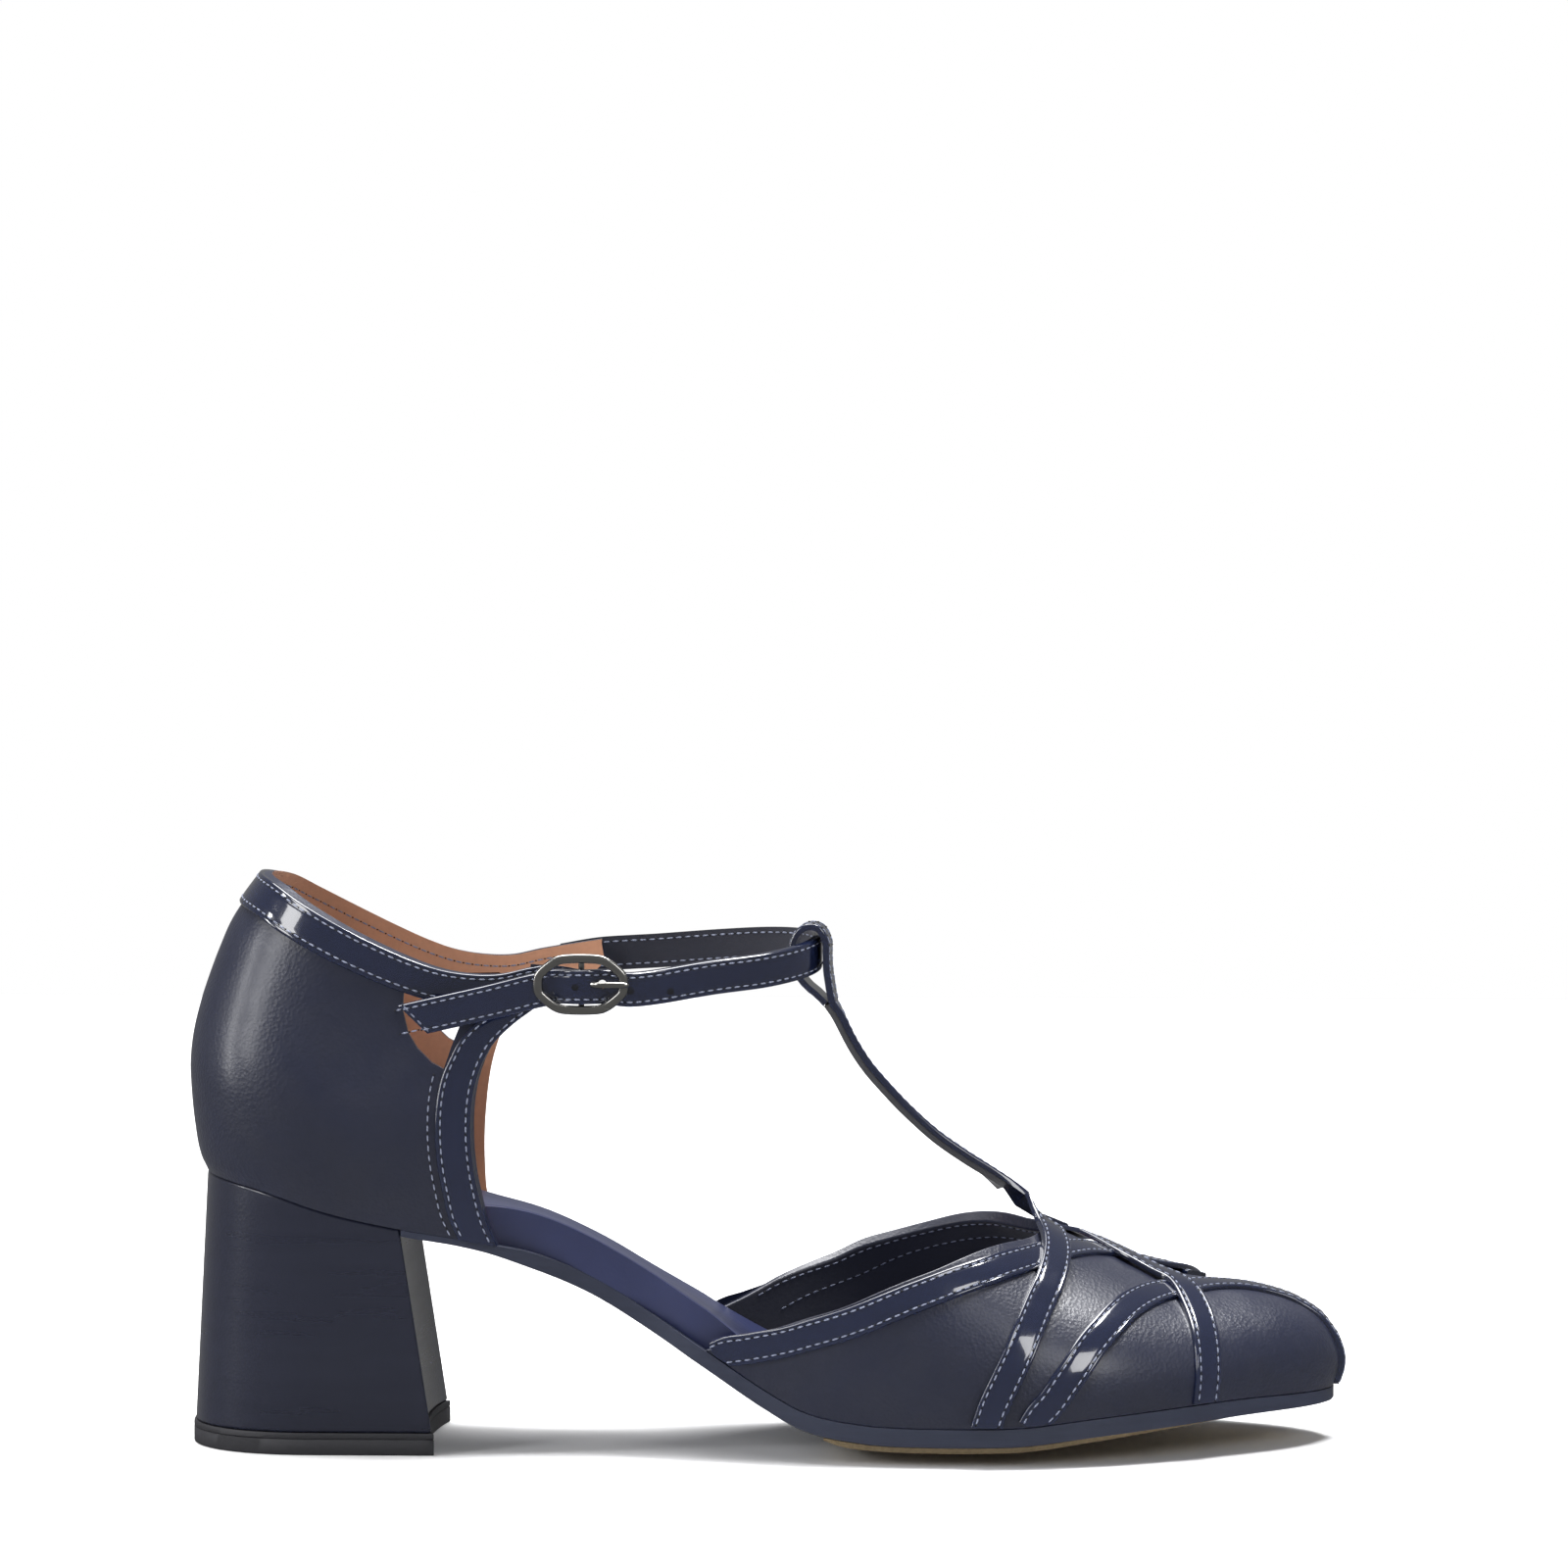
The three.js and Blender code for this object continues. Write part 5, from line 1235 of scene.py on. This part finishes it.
def rodMesh(name, start, end, radius, sides=24):
    start, end = np.array(start, float), np.array(end, float)
    heading = unit(end - start)
    across = unit(np.cross(heading, [0.0, 0.3, 1.0]))
    other = np.cross(heading, across)
    turn = np.linspace(0, 2 * math.pi, sides, endpoint=False)
    circle = across * np.cos(turn)[:, None] * radius + other * np.sin(turn)[:, None] * radius
    return loft(name, np.stack([start + circle, end + circle]), [patent])


def ankleStrap():
    x, y, z = buckleAt
    weave = [
        (x + ahead * sideOfRing, y + underRing - over * (underRing + overBar) + tuck * ankle["thickness"],
         z - drop * ankle["width"])
        for ahead, over, tuck, drop in ankle["weave"]
    ]
    half = ankle["thickness"] / 2
    section = [(s, h - half) for s, h in stripSection(ankle["width"], ankle["thickness"], 0.0, 0.4, 1.05)]
    middle, across, normal = freeFrames([ankleAt(*row) for row in ankle["line"]] + weave, 8)
    # the free end is cut on the slant
    left = np.linalg.norm(middle - middle[-1], axis=-1)
    slide = np.clip(1 - left / 14, 0, 1)[:, None] * ankle["slant"] * headings(middle)
    rings = np.stack([
        middle + across * s + normal * h - slide * (0.5 - s / ankle["width"]) for s, h in section
    ], 1)
    sides = [1 if j >= len(section) - 4 else 0 for j in range(len(section))]
    strap = loft("ankle_strap_patent", rings, [patent, navyLining], sides)
    for ahead, drop in ankle["punched"]:
        at, low = x + ahead * sideOfRing, z - drop * ankle["width"]
        near = np.abs(middle[:, 0] - at) + 1000 * (middle[:, 1] > 0)
        skin = float(middle[np.argmin(near), 1])
        cutBy(strap, rodMesh("punch", (at, skin - 6, low), (at, skin + 0.1, low), ankle["hole"]))
    cutBy(strap, rodMesh("punch", (x + 4.3, y - 6, z), (x + 4.3, y + 8, z), 0.9))
    tidyMesh(strap, 50)
    keepPiece(strap, "patent_leather", "ankle_strap")
    rows = ringRows(rings, section, 1.05, 1)
    threadRows["ankle"] += rows
    for s in (-2.4, 2.4):
        threadRows["ankle"].append((middle + across * s - normal * (half + 0.05), -normal))
    endLine = np.linspace(rows[0][0][-1], rows[1][0][-1], 8)
    threadRows["ankle"].append((endLine, np.tile(rows[0][1][-1], (8, 1))))


def buckleRing():
    x, y, z = buckleAt
    half, high = (buckle["length"] - buckle["wire"]) / 2, (buckle["height"] - buckle["wire"]) / 2
    flat, side = buckle["length"] * 0.24, buckle["height"] * 0.16
    corner = np.array([
        (-flat, -high), (flat, -high), (half, -side), (half, side), (flat, high), (-flat, high), (-half, side),
        (-half, -side),
    ])
    for cut in (0.16, 0.25, 0.25, 0.25):
        after = np.roll(corner, -1, axis=0)
        corner = np.stack([corner * (1 - cut) + after * cut, corner * cut + after * (1 - cut)], 1).reshape(-1, 2)
    tangent = unit(np.roll(corner, -1, axis=0) - np.roll(corner, 1, axis=0))
    inward = np.stack([-tangent[:, 1], tangent[:, 0]], -1)
    wire = buckle["wire"] / 2
    turn = np.linspace(0, 2 * math.pi, 16, endpoint=False)
    square = 2 / 2.8
    section = np.stack([
        np.sign(np.cos(turn)) * np.abs(np.cos(turn)) ** square * wire * 1.35,
        np.sign(np.sin(turn)) * np.abs(np.sin(turn)) ** square * wire,
    ], -1)
    rings = []
    for out, deep in section:
        at = corner + inward * out
        rings.append(np.stack([x + at[:, 0], np.full(len(at), y + deep), z + at[:, 1]], -1))
    rings = np.stack(rings, 1)
    count, around = rings.shape[:2]
    ids = np.arange(count * around).reshape(count, around)
    faces = []
    for i in range(count):
        for j in range(around):
            k, n = (j + 1) % around, (i + 1) % count
            faces.append([int(ids[i, j]), int(ids[i, k]), int(ids[n, k]), int(ids[n, j])])
    ring = tidyMesh(meshPiece("buckle_ring", rings.reshape(-1, 3), faces, [buckleMetal]), 60)
    reach = high
    deep = y + buckle["barInset"]
    bar = rodMesh("bar", (x, deep, z - reach), (x, deep, z + reach), buckle["bar"], 16)
    inner = y + buckle["barInset"] + 0.4
    ends = (z - reach, z + reach)
    posts = [rodMesh("post", (x, y, end), (x, inner, end), buckle["bar"], 16) for end in ends]
    return joined(ring, [bar, *posts], buckleMetal)


def joined(piece, others, material):
    work = bmesh.new()
    for each in [piece, *others]:
        work.from_mesh(each.data)
    work.to_mesh(piece.data)
    work.free()
    for each in others:
        bpy.data.objects.remove(each)
    piece.data.materials.clear()
    piece.data.materials.append(material)
    piece.data.polygons.foreach_set("material_index", [0] * len(piece.data.polygons))
    piece.data.shade_smooth()
    piece.data.set_sharp_from_angle(angle=math.radians(50))
    return piece


def buckleProng():
    x, y, z = buckleAt
    reach = buckle["bar"] + buckle["gap"] + buckle["prong"]
    outside = y - buckle["wire"] / 2 - buckle["gap"] * 0.5 - buckle["prong"]
    turns = np.linspace(0.5 * math.pi, -1.2 * math.pi, 26)
    loop = [(x + reach * math.sin(t), y + buckle["barInset"] + reach * math.cos(t), z) for t in turns[:18]]
    line = loop[:-1] + [(x + 1.6, y + 0.1, z), (x + 3.6, outside + 0.1, z), (x + 6.0, outside, z), (x + sideOfRing, outside - 0.05, z),
                        (x + sideOfRing + 1.2, outside + 0.15, z)]
    path = smoothRows(line, 4)
    heading = headings(path)
    across = np.tile([0.0, 0.0, 1.0], (len(path), 1))
    normal = unit(np.cross(across, heading))
    radius = np.full(len(path), buckle["prong"] * 1.15)
    radius[-6:] *= np.sqrt(np.linspace(1, 0.08, 6))
    turn = np.linspace(0, 2 * math.pi, 14, endpoint=False)
    rings = np.stack([path + (across * math.cos(t) * 1.25 + normal * math.sin(t)) * radius[:, None] for t in turn], 1)
    keepPiece(loft("buckle_prong_pin", rings, [buckleMetal]), "buckle_metal", "buckle_prong")


def buckleTab():
    x, y, z = buckleAt
    bar, round_ = y + buckle["barInset"], buckle["bar"] + buckle["gap"] * 0.4
    start = cupPoint(quarterTurn(1.0, -1), 0.94, 0.2)
    rows = [(start[0] - 4, start[1] + 0.2, start[2] + 0.3), (start[0] + 1.5, start[1] - 0.4, start[2]),
            ((start[0] + x) / 2 - 0.6, (start[1] + bar + round_) / 2 - 0.3, (start[2] + z) / 2)]
    for i in range(7):
        angle = math.pi * (i - 0.2) / 6
        rows.append((x + round_ * math.sin(angle), bar + round_ * math.cos(angle), z - 0.6))
    rows.append((x - 2.6, bar - round_ * 0.6, z - 0.6))
    section = stripSection(buckle["tabWidth"], buckle["tab"], 0.0, 0.3, 0.9, 0.08)
    rings = freeRings(rows, section, 4)
    tab = loft("buckle_tab_patent", rings, [patent])
    keepPiece(tab, "patent_leather", "buckle_tab")


instep = {
    "thickness": 1.3, "width": 7.0, "backing": 1.1, "loopTurn": -5, "loopSide": -0.2,
    "line": [
        (0.5545, -0.19, 2.054, -4), (0.5609, -0.175, 1.989, 2), (0.5715, -0.15, 1.871, 5), (0.5847, -0.115, 1.756, 6),
        (0.6009, -0.088, 1.652, 7), (0.6213, -0.058, 1.536, 8), (0.6451, -0.027, 1.421, 8), (0.6706, 0, 1.324, 9),
        (0.6902, 0.027, 1.256, 12), (0.7047, 0.035, 1.195, 22), (0.7191, 0.018, 1.12, 38),
    ],
    # the loop over the ankle strap: strap widths ahead of its middle and above it
    "loop": [
        (0.34, -1.36), (0.08, -1.1), (-0.2, -0.86), (-0.45, -0.52), (-0.56, 0), (-0.5, 0.38), (-0.28, 0.6),
        (-0.02, 0.57), (0.125, 0.3), (0.14, 0), (0.15, -0.4), (0.2, -0.82),
    ],
}


def instepRows():
    half, high = ankle["half"], last["throat"]
    return [(float(placeOf(at)), side * half, up * high, turn) for at, side, up, turn in instep["line"]]


def loopRows():
    x, _, z = ankleAt(*ankle["line"][ankle["front"]])
    y, width = instep["loopSide"] * ankle["half"], ankle["width"]
    return [(x + ahead * width, y, z + up * width, instep["loopTurn"]) for ahead, up in instep["loop"]]


def instepStrap():
    section = stripSection(instep["width"], instep["thickness"], 0.0, 0.35, 1.0, 0.1)
    free = freeRings(loopRows() + instepRows(), [(s, h + 0.3) for s, h in section], 8)
    laidSection = [(s * upper["strip"] / instep["width"], h if h > 0.01 else -upper["sink"]) for s, h in section]
    laid = laidRings(tableRows(instepStrip, -1), laidSection, stripSizes["thickness"], 8)
    rings = floorOn(feetOff(np.concatenate([free, laid])))
    keepPiece(loft("t_strap_patent", rings, [patent]), "patent_leather", "t_strap")
    threadRows["instep"] += ringRows(rings, section, 1.0, 1)
    lift = instep["backing"] - 0.15
    backSection = [(s, h - lift) for s, h in stripSection(instep["width"] - 0.3, lift + 0.4, 0.0, 0.2, 1.0, 0.0)]
    rings = freeRings(instepRows()[:-1], backSection, 8)
    keepPiece(loft("t_strap_backing_strip", rings, [backing]), "strap_backing", "t_strap_backing")


ankleStrap()
keepPiece(buckleRing(), "buckle_metal", "buckle_frame")
buckleProng()
buckleTab()
instepStrap()
print("straps and buckle made")


# Stitch rows on the leather itself
def leatherRows():
    rise = np.linspace(0.02, 0.6, 60)
    for side in (-1, 1):
        rear = edgePlace("rear", rise, side) - 1.5
        threadRows["quarter"].append(cupPath(side * turnAt(rear, rise), rise, 0.1))
    for down in (1.0, 5.7):
        girth = np.linspace(0.96, 0.56, 70)
        at = toplineX(girth) + down
        point, up, _, _ = surfaceFrame(lambda a, b: vampPoint(a, b, -upper["wall"]), at, girth)
        threadRows["lining"].append((point - up * 0.05, -up))
    share = np.linspace(0.02, 0.98, 200)
    turn = roundTurn(share, np.ones_like(share))
    rise = 1 - 2.3 / cupHeight(turn)
    point, up = cupPath(turn * 0.985, rise, -upper["wall"])
    threadRows["lining"].append((point - up * 0.05, -up))


leatherRows()
stitched("quarter_stitches", threadRows["quarter"], "patent_leather")
stitched("vamp_stitches", threadRows["vamp"], "patent_leather")
stitched("ankle_strap_stitches", threadRows["ankle"], "patent_leather")
stitched("t_strap_stitches", threadRows["instep"], "patent_leather")
stitched("lining_stitches", threadRows["lining"], "soft_leather")
print("stitches sewn")


# Floor, light and camera
studio = {
    "lens": 198.0, "distance": 1.76, "target": (0.093, 0.0, 0.050), "azimuth": 2.0, "elevation": 7.1,
    "framePixels": 1600, "targetAt": (785.0, 1222.5), "air": 0.2, "sky": 3.3, "skyAngle": 50.0,
}


def studioFloor():
    finish = Finish("studio floor", (0.93, 0.93, 0.94), 0.6, **{"Specular IOR Level": 0.12})
    finish.drive("Roughness", finish.between(finish.noise(3.0), 0.55, 0.65))
    corners = np.array([(-1.6, -0.3, 0), (1.6, -0.3, 0), (1.6, 0.9, 0), (-1.6, 0.9, 0)]) / mm
    piece = meshPiece("studio_floor", corners, [[0, 1, 2, 3]], [finish.material])
    piece.visible_glossy = False  # the pale floor isn't mirrored in the dark leather


def softbox(name, place, aim, size, energy, tone=(1, 1, 1)):
    light = bpy.data.lights.new(name, "AREA")
    light.shape, light.size, light.size_y = "RECTANGLE", size[0], size[1]
    light.energy, light.color = energy, tone
    lamp = bpy.data.objects.new(name, light)
    lamp.location = place
    lamp.rotation_euler = (Vector(aim) - Vector(place)).to_track_quat("-Z", "Y").to_euler()
    bpy.context.scene.collection.objects.link(lamp)


def studioCamera():
    data = bpy.data.cameras.new("studio camera")
    data.lens, data.sensor_width, data.sensor_fit = studio["lens"], 36.0, "HORIZONTAL"
    camera = bpy.data.objects.new("studio camera", data)
    turn, lift = math.radians(studio["azimuth"]), math.radians(studio["elevation"])
    back = Vector((math.sin(turn) * math.cos(lift), -math.cos(turn) * math.cos(lift), math.sin(lift)))
    target = Vector(studio["target"])
    camera.location = target + back * studio["distance"]
    camera.rotation_euler = (-back).to_track_quat("-Z", "Y").to_euler()
    pixels = studio["framePixels"]
    data.shift_x = (pixels / 2 - studio["targetAt"][0]) / pixels
    data.shift_y = (studio["targetAt"][1] - pixels / 2) / pixels
    bpy.context.scene.collection.objects.link(camera)
    bpy.context.scene.camera = camera


def studioAir():
    # white behind the shoe, dimmer where it lights and is mirrored in the leather
    world = bpy.data.worlds.new("studio air")
    world.use_nodes = True
    tree = world.node_tree
    back = tree.nodes["Background"]
    back.inputs["Color"].default_value = (1, 1, 1, 1)
    path = tree.nodes.new("ShaderNodeLightPath")
    level = tree.nodes.new("ShaderNodeMapRange")
    level.inputs["To Min"].default_value, level.inputs["To Max"].default_value = studio["air"], 1.0
    tree.links.new(path.outputs["Is Camera Ray"], level.inputs["Value"])
    tree.links.new(level.outputs[0], back.inputs["Strength"])
    bpy.context.scene.world = world


def skyLight():
    light = bpy.data.lights.new("sky", "SUN")
    light.energy, light.angle = studio["sky"], math.radians(studio["skyAngle"])
    lamp = bpy.data.objects.new("sky", light)
    lamp.rotation_euler = (math.radians(-12), math.radians(-8), 0)
    bpy.context.scene.collection.objects.link(lamp)


studioFloor()
skyLight()
softbox("overhead", (0.05, 0.1, 1.2), (0.09, 0, 0.05), (0.9, 0.5), 9)
softbox("left", (-1.0, -0.75, 0.75), (0.02, 0, 0.08), (0.35, 0.8), 6)
softbox("left strip", (-1.2, -0.3, 0.45), (0.0, 0, 0.08), (0.1, 0.7), 4)
softbox("toe", (0.42, 0.06, 1.1), (0.14, 0, 0.04), (0.3, 0.22), 11)
softbox("front right", (1.0, -1.2, 0.9), (0.12, 0, 0.05), (0.5, 0.6), 5)
studioAir()
bpy.context.scene.view_settings.view_transform = "Standard"
studioCamera()
print("studio set")
